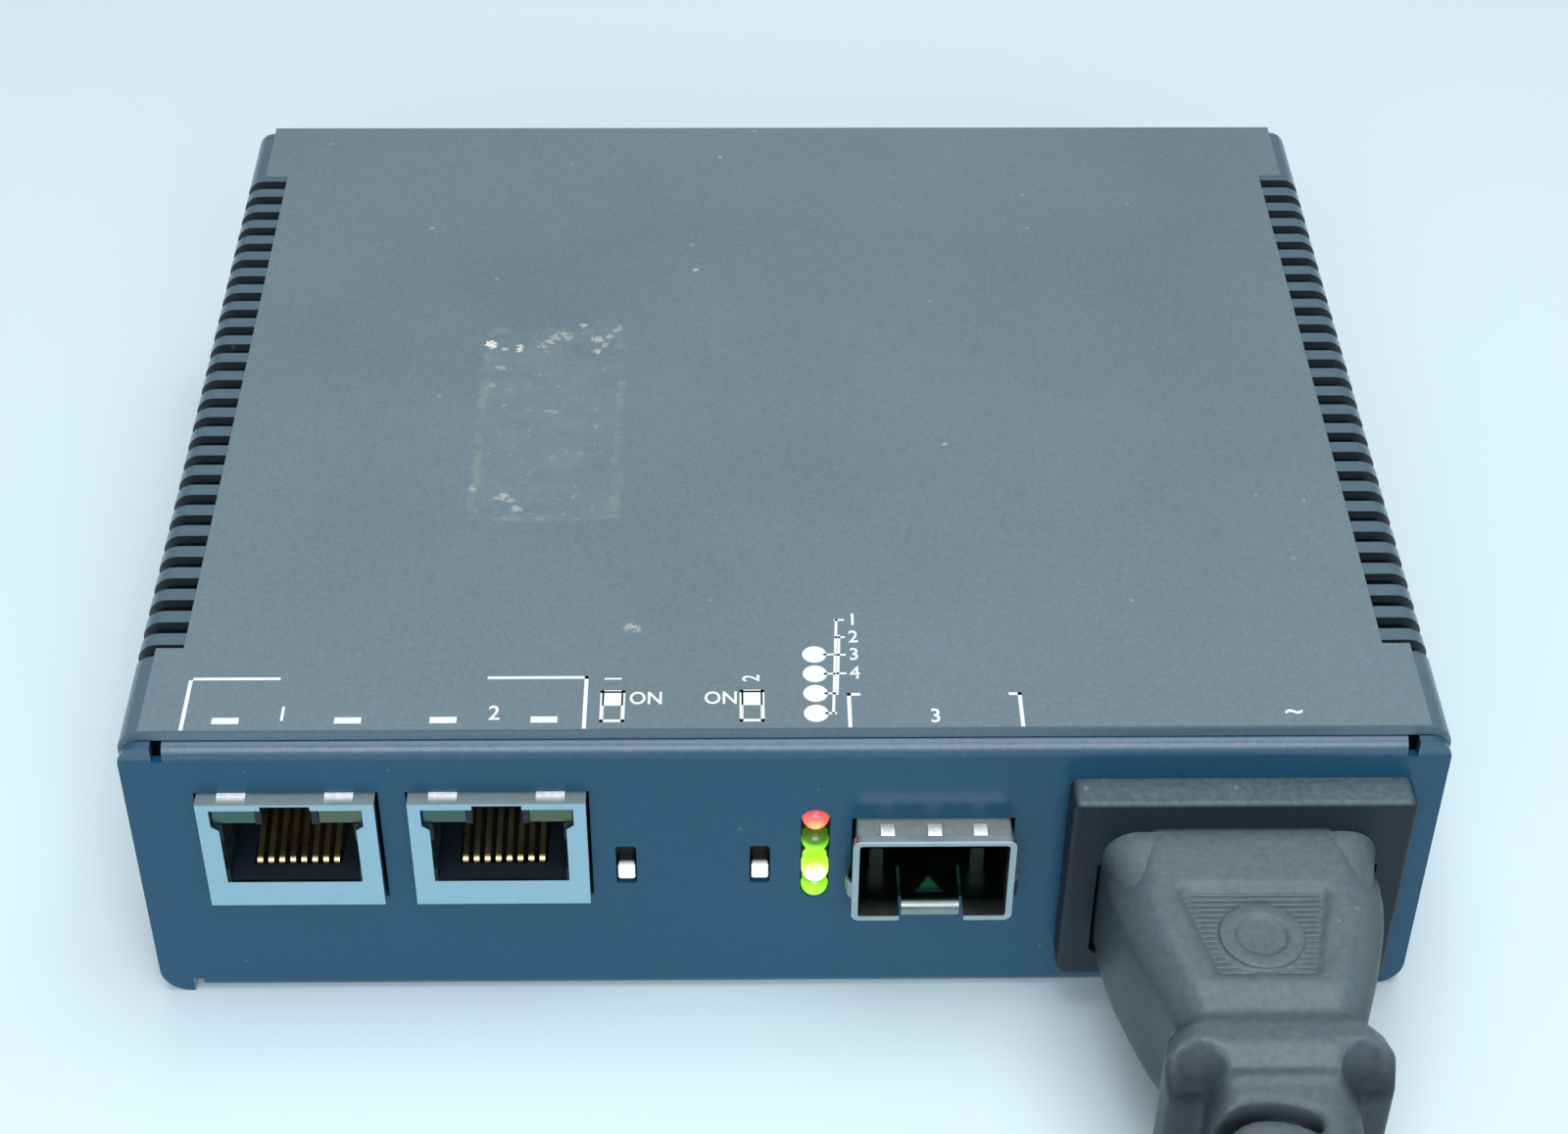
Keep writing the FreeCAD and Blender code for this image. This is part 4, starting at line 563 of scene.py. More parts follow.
def knob_finish():
    """A white cap, with painted shade: behind its front the knob is dark, as the slot's shade."""
    material, tree, shader, place = surface("White knob", roughness=0.3)
    white = effect(tree, "Mottle", place, Grain=900.0, Cloud=300.0, Contrast=0.03, Colour=(1.0, 1.0, 1.0))
    # painted shade: dark behind the white front, where the slot's shade falls
    stem = behind(tree, place, KNOB_TIP, 0.12, 0.55)
    wire(tree, blend_colours(tree, stem, white, (0.025, 0.028, 0.032)), shader.inputs["Base Color"])
    return material


def lens(name, colour):
    """Tinted clear plastic of a lamp that isn't lit."""
    material, tree, shader, place = surface(name, roughness=0.18)
    body = effect(tree, "Mottle", place, Grain=900.0, Cloud=200.0, Contrast=0.15, Colour=colour)
    wire(tree, body, shader.inputs["Base Color"])
    shader.inputs["Coat Weight"].default_value = 0.4
    shader.inputs["Coat Roughness"].default_value = 0.08
    return material


def lit_lamp(name, glow, core):
    """A glowing lamp, coloured by height, with a bright spot in its dome."""
    material, tree, shader, place = surface(name, roughness=0.2)
    low, high = glow[0][0], glow[-1][0]
    ramp = add(tree, "ValToRGB")
    wire(tree, spread(tree, parts(tree, place)[2], low * MM, high * MM), ramp.inputs["Fac"])
    while len(ramp.color_ramp.elements) < len(glow):
        ramp.color_ramp.elements.new(0.5)
    for element, (height, colour) in zip(ramp.color_ramp.elements, glow):
        element.position = (height - low) / (high - low)
        element.color = (*colour, 1.0)
    spot, reach, bright = core
    near = spread(tree, far_from(tree, place, Vector(spot) * MM), reach * MM, 0.35 * reach * MM)
    body = blend_colours(tree, near, ramp.outputs["Color"], bright)
    wire(tree, body, shader.inputs["Base Color"])
    wire(tree, body, shader.inputs["Emission Color"])
    shader.inputs["Emission Strength"].default_value = 0.85
    shader.inputs["Coat Weight"].default_value = 0.4
    return material


def plain_finish(name, colour, roughness, metallic=0.0, contrast=0.2):
    """A simple moulded, sprayed or rolled finish with slight mottling."""
    material, tree, shader, place = surface(name, metallic=metallic)
    wire(tree, effect(tree, "Mottle", place, Grain=1200.0, Cloud=90.0, Contrast=contrast, Colour=colour),
         shader.inputs["Base Color"])
    wire(tree, effect(tree, "Handling", place, Scale=120.0, Low=roughness - 0.05, High=roughness + 0.06),
         shader.inputs["Roughness"])
    return material


# Each lamp's glow as (height in millimetres, colour) from low to high, and its core as (place, reach, colour)
RED_GLOW = (
    (21.3, (0.12, 0.06, 0.01)), (21.9, (0.85, 0.16, 0.05)), (23.3, (0.95, 0.12, 0.10)), (24.2, (0.60, 0.03, 0.08)))
RED_CORE = ((2.75, -51.5, 22.5), 1.0, (1.0, 0.36, 0.12))
# painted light: only the third green lamp is lit; the glow on the second and fourth lenses is painted, as the third
# lamp's light spilling onto them
GREEN_GLOW = (
    (12.7, (0.30, 0.75, 0.04)), (14.4, (0.32, 0.90, 0.02)), (15.2, (0.05, 0.22, 0.01)), (15.5, (0.50, 0.95, 0.04)),
    (16.4, (0.80, 1.0, 0.22)), (17.4, (0.60, 0.98, 0.10)), (18.2, (0.34, 0.88, 0.03)), (18.6, (0.22, 0.72, 0.01)),
    (19.6, (0.30, 0.90, 0.01)), (20.4, (0.05, 0.16, 0.01)), (21.2, (0.05, 0.08, 0.01)))
GREEN_CORE = ((2.7, -52.4, 16.6), 1.7, (1.0, 1.0, 0.82))


class CONVERTER_OT_finishes(bpy.types.Operator):
    """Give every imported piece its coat, plating, plastic or lens"""
    bl_idname = "converter.finishes"
    bl_label = "Finishes"

    def execute(self, context):
        finish = context.scene.converter_finish
        EFFECTS.update({
            "Mottle": make_mottle(), "Grain": make_grain(), "Handling": make_handling(),
            "Specks": make_specks(), "Patch": make_patch(), "Dab": make_dab(),
            "Settled": make_height_band(), "Depth": make_depth(), "Slot walls": make_slot_walls()})
        for material, names in (
                (textured_plastic("Black plastic", finish.black_plastic),
                 "jack_housing_left jack_housing_right sfp_connector lamp_holder switch_body_left switch_body_right "
                 "converter_chip port_transformers supply_transistor red_lamp green_lamps mains_connector wall_plug"),
                (plated("Nickel plate", finish.nickel, 0.16, 0.3), "inlet_pins wall_plug_blades"),
                (shield_plate(finish.nickel), "jack_shield_left jack_shield_right"),
                (plated("Zinc plate", (0.55, 0.55, 0.52), 0.3, 0.45),
                 "board_standoffs supply_standoffs board_screws supply_screws board_crystal"),
                (plain_finish("Can sleeve", (0.03, 0.035, 0.06), 0.35),
                 "board_capacitors bulk_capacitor output_capacitors"),
                (plain_finish("Ferrite", (0.05, 0.05, 0.055), 0.6), "transformer_core line_choke"),
                (plated("Bare aluminium", (0.62, 0.63, 0.64), 0.35, 0.5), "chip_heatsink supply_heatsink"),
                (plain_finish("Lead insulation", (0.025, 0.025, 0.03), 0.5), "supply_leads dc_leads"),
                # painted shade and painted blue bounce light are part of this coat's colour
                (powder_coat("Base coat", finish.base_coat), "chassis_base"),
                (powder_coat("Cover coat", finish.cover_coat, True), "top_cover"),
                (label_film(finish.label_film), "top_label"),
                (plain_finish("Black screw", (0.03, 0.03, 0.032), 0.4, 0.6), "cover_screws"),
                (plain_finish("Green board", (0.02, 0.11, 0.05), 0.35), "main_board"),
                (plain_finish("Brown board", (0.2, 0.12, 0.05), 0.5), "supply_board"),
                (cage_plate((0.44, 0.52, 0.53)), "sfp_cage"),
                # painted light: the inlet's top is made lighter above 27.7 mm, as sheen from above
                (textured_plastic("Inlet plastic", finish.black_plastic, 1700.0, 0.1, 0.4, 0.52, 0.3,
                                  (27.7, 28.05, (0.082, 0.125, 0.145))), "inlet_housing"),
                (plain_finish("Winding tape", (0.6, 0.42, 0.04), 0.4), "transformer_winding"),
                (plain_finish("Fuse", (0.6, 0.62, 0.6), 0.25, 0.4), "mains_fuse"),
                (plated("Contact brass", (0.65, 0.5, 0.2), 0.25, 0.4), "connector_contacts"),
                (plated("Gold flash", (0.66, 0.54, 0.28), 0.26, 0.38), "jack_contacts_left jack_contacts_right"),
                (knob_finish(), "switch_knob_left switch_knob_right"),
                (lens("Unlit green lens", (0.014, 0.085, 0.070)), "jack_green_light_left jack_green_light_right"),
                (lens("Unlit amber lens", (0.05, 0.095, 0.045)), "jack_amber_light_left jack_amber_light_right")):
            for name in names.split():
                paint(nodes[name], material)
        return {"FINISHED"}


# ---- print on the label

INK_LIFT = 0.012 * MM
BRACKET_LINE = 0.36
FRAME_LINE = 0.34
LEADER_LINE = 0.26
TEXT_SWELL = 0.03
TEXT_NARROW = 0.84
PANEL_EDGE = -49.6
# Left and right edge, the two ends of the gap in the top line, and the height of the top line
BRACKETS = ((-53.9, -18.1, -46.0, -26.9, -43.1), (5.65, 21.1, 6.5, 20.3, -45.5))
PORT_BARS_X = (-50.1, -39.2, -30.7, -21.7)
PORT_BARS_Y = -48.6
PORT_BAR = (2.4, 0.8)
SWITCHES_X = (-15.65, -3.1)
SWITCH_FRONT, SWITCH_BACK = -48.8, -45.0
SLIDER_Y = -45.9
SLIDER = 1.9
LAMP_DOT = 1.12
LAMP_DOTS_X = 2.65
LAMP_DOTS_Y = (-40.15, -42.75, -45.35, -47.95)
LAMP_SIGNS_Y = (-35.4, -37.8, -40.2, -42.7)


def ink_plane(x, y, wide, deep, turn=0.0):
    """A flat rectangle of ink with its middle at a place, all in millimetres."""
    deselect()
    bpy.ops.mesh.primitive_plane_add(size=MM, location=(x * MM, y * MM, 0), rotation=(0, 0, turn))
    mark = bpy.context.object
    mark.scale = (wide, deep, 1.0)
    return mark


def ink_bar(x0, y0, x1, y1, width):
    """A straight printed line from one point to another."""
    run = math.hypot(x1 - x0, y1 - y0)
    return ink_plane((x0 + x1) / 2, (y0 + y1) / 2, run + width, width, math.atan2(y1 - y0, x1 - x0))


def ink_frame(x0, y0, x1, y1):
    corners = [(x0, y0), (x1, y0), (x1, y1), (x0, y1), (x0, y0)]
    return [ink_bar(*start, *end, FRAME_LINE) for start, end in zip(corners, corners[1:])]


def ink_dot(x, y, radius):
    deselect()
    bpy.ops.mesh.primitive_circle_add(
        vertices=28, radius=radius * MM, fill_type="NGON", location=(x * MM, y * MM, 0))
    return bpy.context.object


def ink_text(text, x, y, size, turn=0.0):
    """Plain bold characters, made a mesh, with their middle at a place."""
    deselect()
    bpy.ops.object.text_add(location=(x * MM, y * MM, 0), rotation=(0, 0, math.radians(turn)))
    item = bpy.context.object
    item.data.body = text
    item.data.size = size * MM
    item.data.offset = TEXT_SWELL * MM
    item.data.align_x = item.data.align_y = "CENTER"
    item.data.resolution_u = 3
    bpy.ops.object.convert(target="MESH")
    item = bpy.context.object
    item.scale.x = TEXT_NARROW
    return item


def port_brackets():
    """The line work over the two copper ports and over the optical port."""
    marks = []
    for left, right, gap_left, gap_right, top in BRACKETS:
        for edge, gap in ((left, gap_left), (right, gap_right)):
            marks.append(ink_bar(edge, PANEL_EDGE, edge, top, BRACKET_LINE))
            marks.append(ink_bar(edge, top, gap, top, BRACKET_LINE))
    for x in PORT_BARS_X:
        marks.append(ink_plane(x, PORT_BARS_Y, *PORT_BAR))
    return marks


def switch_signs():
    """An outline for each switch, with its slider drawn at the back end."""
    marks = []
    for x in SWITCHES_X:
        marks += ink_frame(x - SLIDER / 2, SWITCH_FRONT, x + SLIDER / 2, SWITCH_BACK)
        marks.append(ink_plane(x, SLIDER_Y, SLIDER, SLIDER))
    return marks


def lamp_signs():
    """A dot for each lamp, joined by slanting lines that lead to its number."""
    marks = [ink_bar(4.2, -47.9, 4.8, -35.4, LEADER_LINE), ink_bar(4.6, -45.4, 5.0, -37.6, LEADER_LINE)]
    for dot, sign in zip(LAMP_DOTS_Y, LAMP_SIGNS_Y):
        marks.append(ink_dot(LAMP_DOTS_X, dot, LAMP_DOT))
        marks.append(ink_bar(3.6, dot, 4.4, dot, LEADER_LINE))
        marks.append(ink_bar(4.7, sign, 5.4, sign, LEADER_LINE))
    return marks


# Characters, middle in millimetres, size and turn in degrees
PRINTED_TEXT = (
    ("1", -45.1, -47.8, 2.6), ("2", -26.2, -47.8, 2.6), ("3", 13.35, -48.4, 2.5),
    ("ON", -12.65, -45.95, 2.3), ("ON", -5.9, -45.95, 2.3),
    ("1", -15.6, -43.3, 2.2, 90), ("2", -3.1, -43.3, 2.2, 90),
    ("1", 6.3, -35.4, 2.3), ("2", 6.3, -37.8, 2.3), ("3", 6.3, -40.2, 2.3), ("4", 6.3, -42.7, 2.3),
    ("~", 45.6, -47.9, 3.4))


class CONVERTER_OT_print(bpy.types.Operator):
    """Print the brackets, switch signs, lamp dots and port numbers on the label"""
    bl_idname = "converter.print"
    bl_label = "Label print"

    def execute(self, context):
        marks = port_brackets() + switch_signs() + lamp_signs()
        marks += [ink_text(*item) for item in PRINTED_TEXT]
        deselect()
        for mark in marks:
            mark.location.z = label_high.z + INK_LIFT
            mark.select_set(True)
        ink = marks[0]
        context.view_layer.objects.active = ink
        bpy.ops.object.join()
        ink.name = ink.data.name = "label_print"
        settle(ink)
        colour = context.scene.converter_finish.print_ink
        place_on_case(ink, plain_finish("Print ink", colour, 0.5, contrast=0.25), "grey_label")
        return {"FINISHED"}


# ---- soft mouldings

SMOOTHING_PASSES = 8
KEPT_SHARE = 0.45
SHOULDER_SIZE = (24.9, 6.6, 15.95)
SHOULDER_TAPER = (0.88, 1.0, 0.90)
SHOULDER_BEVEL = 3.1
SHOULDER_PLACE = (41.2, -57.52, 16.65)
PANEL_FLOOR = 23.7
RIB_COUNT = 18
RIB_FRONT = -61.2
RIB_PITCH = 0.60
RIB_HALF_FRONT = 6.55
RIB_HALF_BACK = 4.35
RIB_DEPTH = 0.34
RIB_HEIGHT = 0.5
RIB_BEVEL = 0.12
RIB_SINK = 0.05
DISC_PLACE = (41.2, -66.3)
DISC_RADIUS = 3.75
DISC_HEIGHT = 0.8
DISC_RIM = 1.35
DISH_WALL = 0.35
DISH_DEPTH = 0.32
DISC_BEVEL = 0.2
DISC_LIFT = 0.2
# Round hollows beside the neck, and the painted shade in them: place and radius
SCOOPS = tuple((41.0 + side * 7.4, -80.9, 23.9, 2.6) for side in (-1, 1))
HOLLOW_SHADE = tuple((41.1 + side * 7.6, -81.3, 22.3, 3.6) for side in (-1, 1))


def apply_modifier(piece, kind, **settings):
    """Add a modifier to the active piece and apply it at once."""
    modifier = piece.modifiers.new(kind.title(), kind)
    for key, value in settings.items():
        setattr(modifier, key, value)
    bpy.ops.object.modifier_apply(modifier=modifier.name)


def soft_copy(node, name, grain, hollows=()):
    """A copy of a packed moulding with its edges melted round, and round hollows let into it."""
    piece = nodes[node].copy()
    piece.data = nodes[node].data.copy()
    piece.name = piece.data.name = name
    bpy.context.collection.objects.link(piece)
    cutters = []
    for x, y, z, radius in hollows:
        deselect()
        bpy.ops.mesh.primitive_ico_sphere_add(
            subdivisions=4, radius=radius * MM, location=(x * MM, y * MM, z * MM))
        cutters.append(bpy.context.object)
    only(piece)
    bpy.ops.object.mode_set(mode="EDIT")
    bpy.ops.mesh.select_all(action="SELECT")
    bpy.ops.mesh.remove_doubles(threshold=0.001 * MM)
    bpy.ops.object.mode_set(mode="OBJECT")
    for cutter in cutters:
        apply_modifier(piece, "BOOLEAN", operation="DIFFERENCE", solver="EXACT", object=cutter)
        bpy.data.objects.remove(cutter)
    apply_modifier(piece, "REMESH", mode="VOXEL", voxel_size=grain * MM)
    apply_modifier(piece, "SMOOTH", factor=0.5, iterations=SMOOTHING_PASSES)
    apply_modifier(piece, "DECIMATE", ratio=KEPT_SHARE)
    bpy.ops.object.shade_smooth()
    return piece


def grip_shoulders():
    """The full, rounded shoulders of the grip right outside the inlet."""
    deselect()
    bpy.ops.mesh.primitive_cube_add(size=1.0, location=(0, 0, 0))
    block = bpy.context.object
    block.scale = Vector(SHOULDER_SIZE) * MM
    settle(block)
    pick(block, "polygons", lambda face: face.normal.y < -0.5)
    bpy.ops.mesh.select_mode(type="FACE")
    bpy.ops.transform.resize(value=SHOULDER_TAPER, center_override=(0, 0, 0))
    bpy.ops.object.mode_set(mode="OBJECT")
    depths = [vertex.co.y for vertex in block.data.vertices]
    pick(block, "edges", lambda edge: abs(depths[edge.vertices[0]] - depths[edge.vertices[1]]) > 5 * MM)
    bpy.ops.mesh.select_mode(type="EDGE")
    bpy.ops.mesh.bevel(offset=SHOULDER_BEVEL * MM, segments=6)
    bpy.ops.object.mode_set(mode="OBJECT")
    bpy.ops.object.shade_smooth_by_angle(angle=math.radians(40))
    block.location = Vector(SHOULDER_PLACE) * MM
    settle(block)
    return block


def grip_ribs():
    """Fine cross ribs on the floor of the grip's sunken panel, one modelled and the rest copied."""
    deselect()
    bpy.ops.mesh.primitive_cube_add(size=MM, location=(0, 0, 0))
    first = bpy.context.object
    first.scale = (1.0, RIB_DEPTH, RIB_HEIGHT)
    settle(first)
    apply_modifier(first, "BEVEL", width=RIB_BEVEL * MM, segments=2)
    ribs = []
    for i in range(RIB_COUNT):
        rib = first.copy()
        rib.data = first.data.copy()
        bpy.context.collection.objects.link(rib)
        share = i / (RIB_COUNT - 1)
        rib.scale.x = 2 * (RIB_HALF_FRONT + (RIB_HALF_BACK - RIB_HALF_FRONT) * share)
        rib.location = Vector((DISC_PLACE[0], RIB_FRONT - i * RIB_PITCH, PANEL_FLOOR - RIB_SINK)) * MM
        ribs.append(rib)
    bpy.data.objects.remove(first)
    return ribs


def grip_disc():
    """The dished disc in the middle of the panel."""
    deselect()
    bpy.ops.mesh.primitive_cylinder_add(
        vertices=64, radius=DISC_RADIUS * MM, depth=DISC_HEIGHT * MM,
        location=(DISC_PLACE[0] * MM, DISC_PLACE[1] * MM, (PANEL_FLOOR + DISC_LIFT) * MM))
    disc = bpy.context.object
    pick(disc, "polygons", lambda face: face.normal.z > 0.9)
    bpy.ops.mesh.inset(thickness=DISC_RIM * MM)
    bpy.ops.mesh.inset(thickness=DISH_WALL * MM, depth=-DISH_DEPTH * MM)
    bpy.ops.object.mode_set(mode="OBJECT")
    apply_modifier(
        disc, "BEVEL", width=DISC_BEVEL * MM, segments=3, limit_method="ANGLE", angle_limit=math.radians(30))
    bpy.ops.object.shade_smooth_by_angle(angle=math.radians(50))
    return disc


class CONVERTER_OT_mouldings(bpy.types.Operator):
    """Model the soft connector on the cord and the soft wall plug"""
    bl_idname = "converter.mouldings"
    bl_label = "Mouldings"

    def execute(self, context):
        colour = context.scene.converter_finish.soft_black
        # painted shade: the moulding's body is 0.3 of its colour, and keeps its full colour only high up, above 20.6
        # to 23.9 mm
        shade = [0.3 * part for part in colour]
        soft = textured_plastic(
            "Soft moulding", shade, 1500.0, 0.05, 0.40, 0.52, 0.42, (20.6, 23.9, colour), 0.35, HOLLOW_SHADE)
        connector = soft_copy("mains_connector", "connector_moulding", 0.36, SCOOPS)
        extras = grip_ribs() + [grip_disc(), grip_shoulders()]
        only(connector)
        for extra in extras:
            extra.select_set(True)
        bpy.ops.object.join()
        plug = soft_copy("wall_plug", "plug_moulding", 0.5)
        for piece, node in ((connector, "mains_connector"), (plug, "wall_plug")):
            settle(piece)
            place_on_case(piece, soft, "soft_black", node)
        return {"FINISHED"}


# ---- lamps

LAMP_X = 2.7
# Height of each lamp from the top down, and where its tip is
LAMPS = ((22.86, -51.5), (19.92, -51.5), (16.98, -52.45), (14.04, -51.5))
LAMP_RADIUS = 1.28
LAMP_SHOULDER = -50.3
STEM_SHARE = 0.88
STEM_LENGTH = 3.4


def lamp_lens(z, tip):
    """A dome that stands out of the panel, on a narrower stem."""
    middle = tip + LAMP_RADIUS
    deselect()
    bpy.ops.mesh.primitive_uv_sphere_add(
        segments=32, ring_count=16, radius=LAMP_RADIUS * MM, location=(0, 0, 0),
        rotation=(math.radians(90), 0, 0))
    dome = bpy.context.object
    bpy.ops.object.mode_set(mode="EDIT")
    bpy.ops.mesh.select_all(action="SELECT")
    bpy.ops.mesh.bisect(plane_co=(0, 0.03 * MM, 0), plane_no=(0, 1, 0), clear_outer=True, use_fill=True)
    for back, size in ((LAMP_SHOULDER - middle, 1.0), (0.02, STEM_SHARE), (STEM_LENGTH, 1.0)):
        bpy.ops.mesh.extrude_region_move(TRANSFORM_OT_translate={"value": (0, back * MM, 0)})
        bpy.ops.transform.resize(value=(size, 1, size), center_override=(0, 0, 0))
    bpy.ops.object.mode_set(mode="OBJECT")
    bpy.ops.object.shade_smooth_by_angle(angle=math.radians(40))
    dome.location = Vector((LAMP_X, middle, z)) * MM
    settle(dome)
    return dome


class CONVERTER_OT_lamps(bpy.types.Operator):
    """Model the domed lenses of the lamp stack"""
    bl_idname = "converter.lamps"
    bl_label = "Lamps"

    def execute(self, context):
        lenses = [lamp_lens(z, tip) for z, tip in LAMPS]
        only(lenses[1])
        for piece in lenses[2:]:
            piece.select_set(True)
        bpy.ops.object.join()
        for piece, name, node, slot, finish in (
                (lenses[0], "red_lens", "red_lamp", "red_lens", lit_lamp("Red lamp", RED_GLOW, RED_CORE)),
                (lenses[1], "green_lenses", "green_lamps", "green_lens",
                 lit_lamp("Green lamps", GREEN_GLOW, GREEN_CORE))):
            piece.name = piece.data.name = name
            place_on_case(piece, finish, slot, node)
        return {"FINISHED"}


# ---- cord

# The cord's guide points before and after its coil, in millimetres
LEAD = (
    (41.2, -113.2, 16.65), (41.2, -125.7, 16.65), (41.15, -139.5, 13.4), (41.15, -153.5, 7.2), (41.2, -167.0, 4.2))
TAIL = ((34.2, -188.5, 10.5), (34.1, -204.0, 10.5), (28.0, -218.8, 10.2), (16.7, -230.1, 10.4), (1.9, -236.2, 11.0))
COIL_CENTRE = Vector((-11.8, -176.0, 0)) * MM
POINTS_PER_TURN = 20
CLIMB_TURNS = 0.25
CLIMB_ANGLE = math.radians(60)


def coil_points(cord):
    """Turns spiralling inwards on the surface, then outwards on top, clockwise seen from above."""
    d = cord.diameter
    swell = 1 / math.cos(math.pi / POINTS_PER_TURN) ** 0.5
    points = []

    def low_radius(turn):
        return cord.outer_radius - d * turn

    last = cord.turns_low + CLIMB_TURNS
    total = last + cord.turns_top
    steps = round(total * POINTS_PER_TURN)
    for i in range(1, steps):
        turn = i / POINTS_PER_TURN
        if turn <= cord.turns_low:
            radius, height = low_radius(turn), d / 2
        elif turn <= last:
            rise = CLIMB_ANGLE * (turn - cord.turns_low) / CLIMB_TURNS
            radius = low_radius(turn - 1) - d * math.cos(rise)
            height = d / 2 + d * math.sin(rise)
        else:
            radius = low_radius(last - 1) - d / 2 + d * (turn - last)
            gaps = [abs(radius - low_radius(turn - k)) for k in range(1, 9) if 0 <= turn - k <= cord.turns_low]
            height = d / 2 + math.sqrt(max(0.0, d * d - min(gaps) ** 2))
        angle = -2 * math.pi * turn
        points.append(COIL_CENTRE + Vector((
            radius * swell * math.cos(angle), radius * swell * math.sin(angle), height)))
    return points


class CONVERTER_OT_cord(bpy.types.Operator):
    """Lay the mains cord from the strain relief, through its coil, to the wall plug"""
    bl_idname = "converter.cord"
    bl_label = "Mains cord"

    def execute(self, context):
        cord = context.scene.converter_cord
        curve = bpy.data.curves.new("mains_lead", "CURVE")
        curve.dimensions = "3D"
        curve.bevel_depth = cord.diameter / 2
        curve.bevel_resolution = 5
        curve.resolution_u = 6
        route = [Vector(p) * MM for p in LEAD] + coil_points(cord) + [Vector(p) * MM for p in TAIL]
        spline = curve.splines.new("NURBS")
        spline.points.add(len(route) - 1)
        for point, place in zip(spline.points, route):
            point.co = (*place, 1.0)
        spline.order_u = 3
        spline.use_endpoint_u = True
        lead = bpy.data.objects.new("mains_lead", curve)
        context.collection.objects.link(lead)
        colour = context.scene.converter_finish.cord_black
        jacket = textured_plastic("Cord jacket", colour, 900.0, 0.03, 0.36, 0.48)
        place_on_case(lead, jacket, "cord_black", "mains_cord", "cord_coil", "cord_tail")
        return {"FINISHED"}


# ---- stage

CAMERA_PLACE = (-4.3326, -228.4465, 205.9225)
CAMERA_LENS = 63.84
CAMERA_SENSOR = 36.0
CAMERA_DOWN = 40.65
CAMERA_YAW = -1.254
CAMERA_ROLL = 0.602
# Each light's place, its aim and its size, in metres
KEY_LIGHT = ((0.06, -0.02, 0.85), (0, 0, 0), (0.75, 0.65))
FRONT_STRIP = ((0.0, -0.70, 0.54), (0, 0, 0.02), (0.8, 0.42))
FLOOR_SIZE = 6.0
FLOOR_DROP = 0.00005
MIRRORED_SHARE = 0.75
MIRRORED_FLOOR = (0.60, 0.80, 0.90)
WORLD_COLOUR = (0.90, 0.95, 1.0)
WORLD_STRENGTH = 0.26


def add_area_light(name, place, target, size, power):
    deselect()
    bpy.ops.object.light_add(type="AREA", location=place)
    light = bpy.context.object
    light.name = name
    light.data.shape = "RECTANGLE"
    light.data.size, light.data.size_y = size
    light.data.energy = power
    aim = Vector(target) - Vector(place)
    light.rotation_euler = aim.to_track_quat("-Z", "Y").to_euler()


def floor_finish(colour):
    """A pale floor that looks brighter in mirrors and glass than it is."""
    material, tree, shader, _ = surface("Pale floor", colour, 0.6)
    path = add(tree, "LightPath")
    seen = maths(tree, "MAXIMUM", path.outputs["Is Glossy Ray"], path.outputs["Is Transmission Ray"])
    glow = add(tree, "Emission")
    put(tree, glow.inputs["Color"], MIRRORED_FLOOR)
    mix = add(tree, "MixShader")
    for socket, value in zip(mix.inputs, (times(tree, seen, MIRRORED_SHARE), shader.outputs[0], glow.outputs[0])):
        wire(tree, value, socket)
    wire(tree, mix.outputs[0], tree.nodes["Material Output"].inputs["Surface"])
    return material


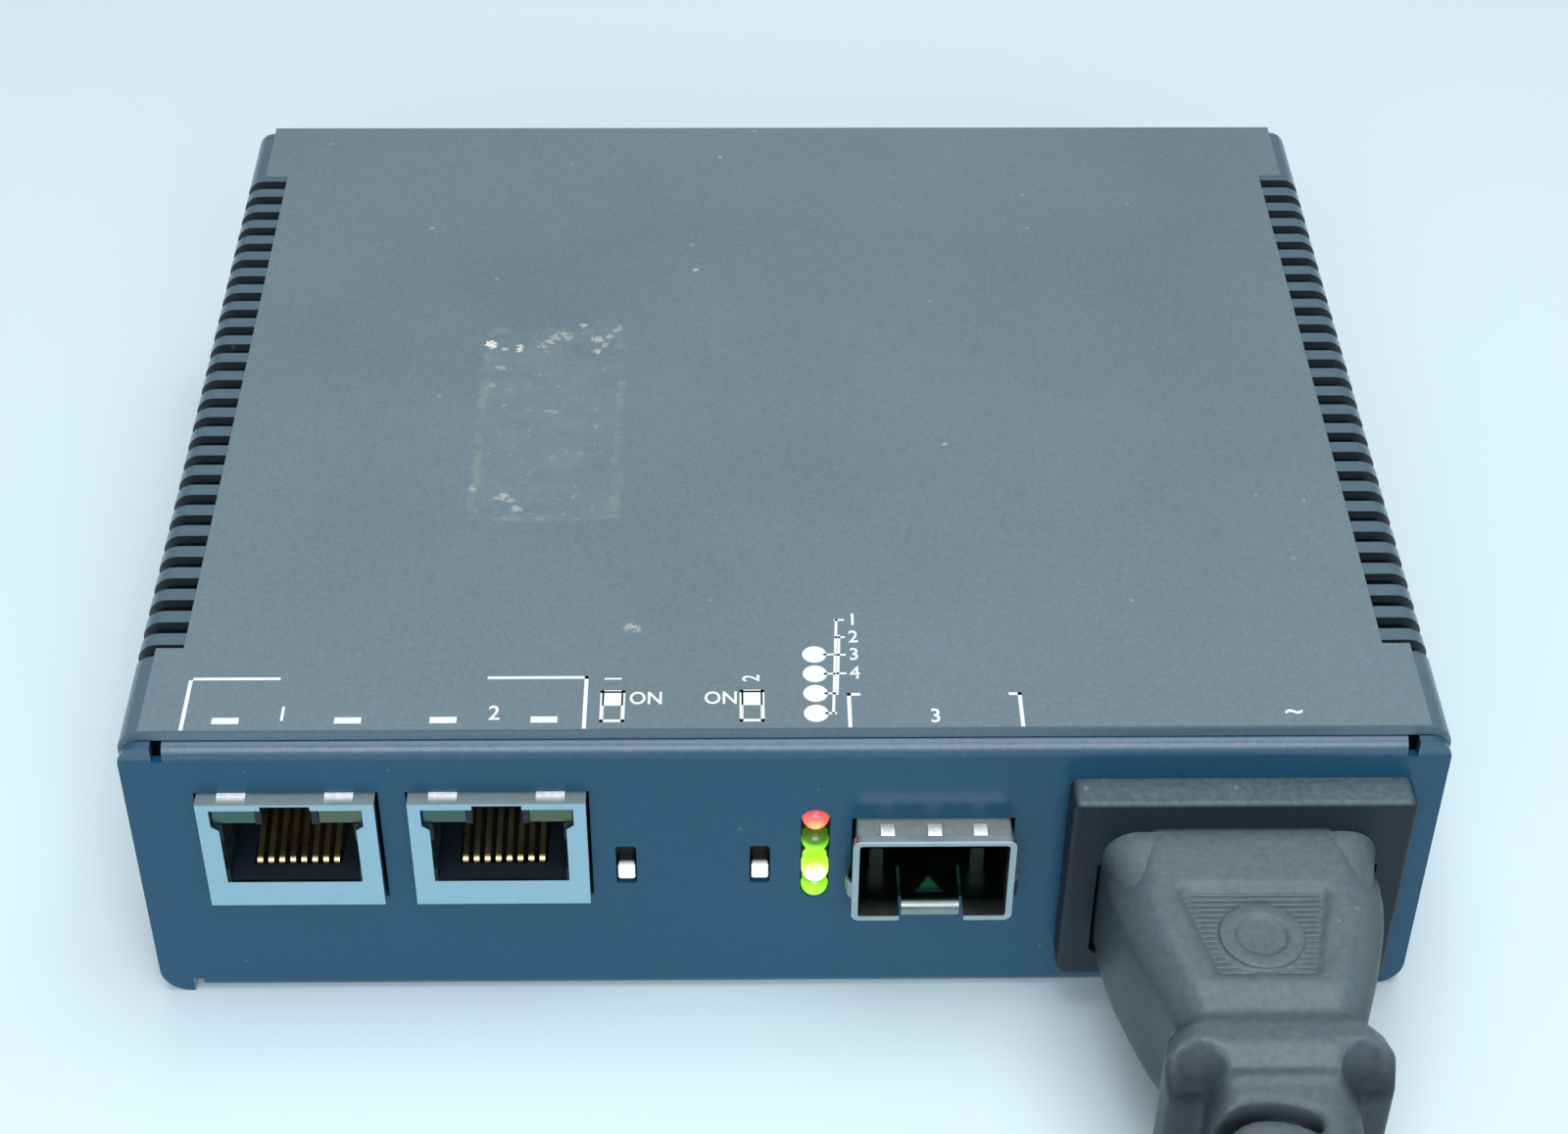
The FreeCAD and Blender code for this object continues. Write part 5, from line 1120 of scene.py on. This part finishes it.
class CONVERTER_OT_stage(bpy.types.Operator):
    """Set the floor, the lights and the camera"""
    bl_idname = "converter.stage"
    bl_label = "Stage"

    def execute(self, context):
        stage = context.scene.converter_stage
        scene = context.scene
        deselect()
        bpy.ops.mesh.primitive_plane_add(size=FLOOR_SIZE, location=(0, 0, -FLOOR_DROP))
        floor = context.object
        floor.name = "floor"
        paint(floor, floor_finish(stage.floor))
        world = bpy.data.worlds.new("Soft room")
        world.use_nodes = True
        background = world.node_tree.nodes["Background"]
        background.inputs["Color"].default_value = (*WORLD_COLOUR, 1.0)
        background.inputs["Strength"].default_value = WORLD_STRENGTH
        scene.world = world
        add_area_light("key", *KEY_LIGHT, stage.key_power)
        add_area_light("front strip", *FRONT_STRIP, stage.strip_power)
        bpy.ops.object.camera_add(location=Vector(CAMERA_PLACE) * MM)
        camera = context.object
        camera.data.lens = CAMERA_LENS
        camera.data.sensor_width = CAMERA_SENSOR
        camera.data.clip_start = 0.01
        camera.data.clip_end = 20.0
        turn = Euler((math.radians(90 - CAMERA_DOWN), 0, math.radians(CAMERA_YAW)), "XYZ").to_matrix()
        roll = Euler((0, 0, math.radians(CAMERA_ROLL)), "XYZ").to_matrix()
        camera.rotation_euler = (turn @ roll).to_euler()
        scene.camera = camera
        scene.view_settings.view_transform = "Standard"
        return {"FINISHED"}


class CONVERTER_PT_panel(bpy.types.Panel):
    """Lists the sizes, the colours and the steps"""
    bl_idname = "CONVERTER_PT_panel"
    bl_label = "Media converter"
    bl_space_type = "VIEW_3D"
    bl_region_type = "UI"
    bl_category = "Converter"

    def draw(self, context):
        for group in ("converter_finish", "converter_cord", "converter_stage"):
            values = getattr(context.scene, group)
            for name in values.bl_rna.properties.keys():
                if name not in ("rna_type", "name"):
                    self.layout.prop(values, name)
        for step in STEPS:
            self.layout.operator(step.bl_idname)


STEPS = (CONVERTER_OT_stage, CONVERTER_OT_finishes, CONVERTER_OT_mouldings, CONVERTER_OT_lamps,
         CONVERTER_OT_cord, CONVERTER_OT_print)
GROUPS = (ConverterFinish, ConverterCord, ConverterStage)


def register():
    for item in GROUPS + STEPS + (CONVERTER_PT_panel,):
        bpy.utils.register_class(item)
    bpy.types.Scene.converter_finish = bpy.props.PointerProperty(type=ConverterFinish)
    bpy.types.Scene.converter_cord = bpy.props.PointerProperty(type=ConverterCord)
    bpy.types.Scene.converter_stage = bpy.props.PointerProperty(type=ConverterStage)


def unregister():
    for name in ("converter_finish", "converter_cord", "converter_stage"):
        delattr(bpy.types.Scene, name)
    for item in reversed(GROUPS + STEPS + (CONVERTER_PT_panel,)):
        bpy.utils.unregister_class(item)


def main():
    register()
    for step in STEPS:
        group, name = step.bl_idname.split(".")
        getattr(getattr(bpy.ops, group), name)()


if __name__ == "__main__":
    main()
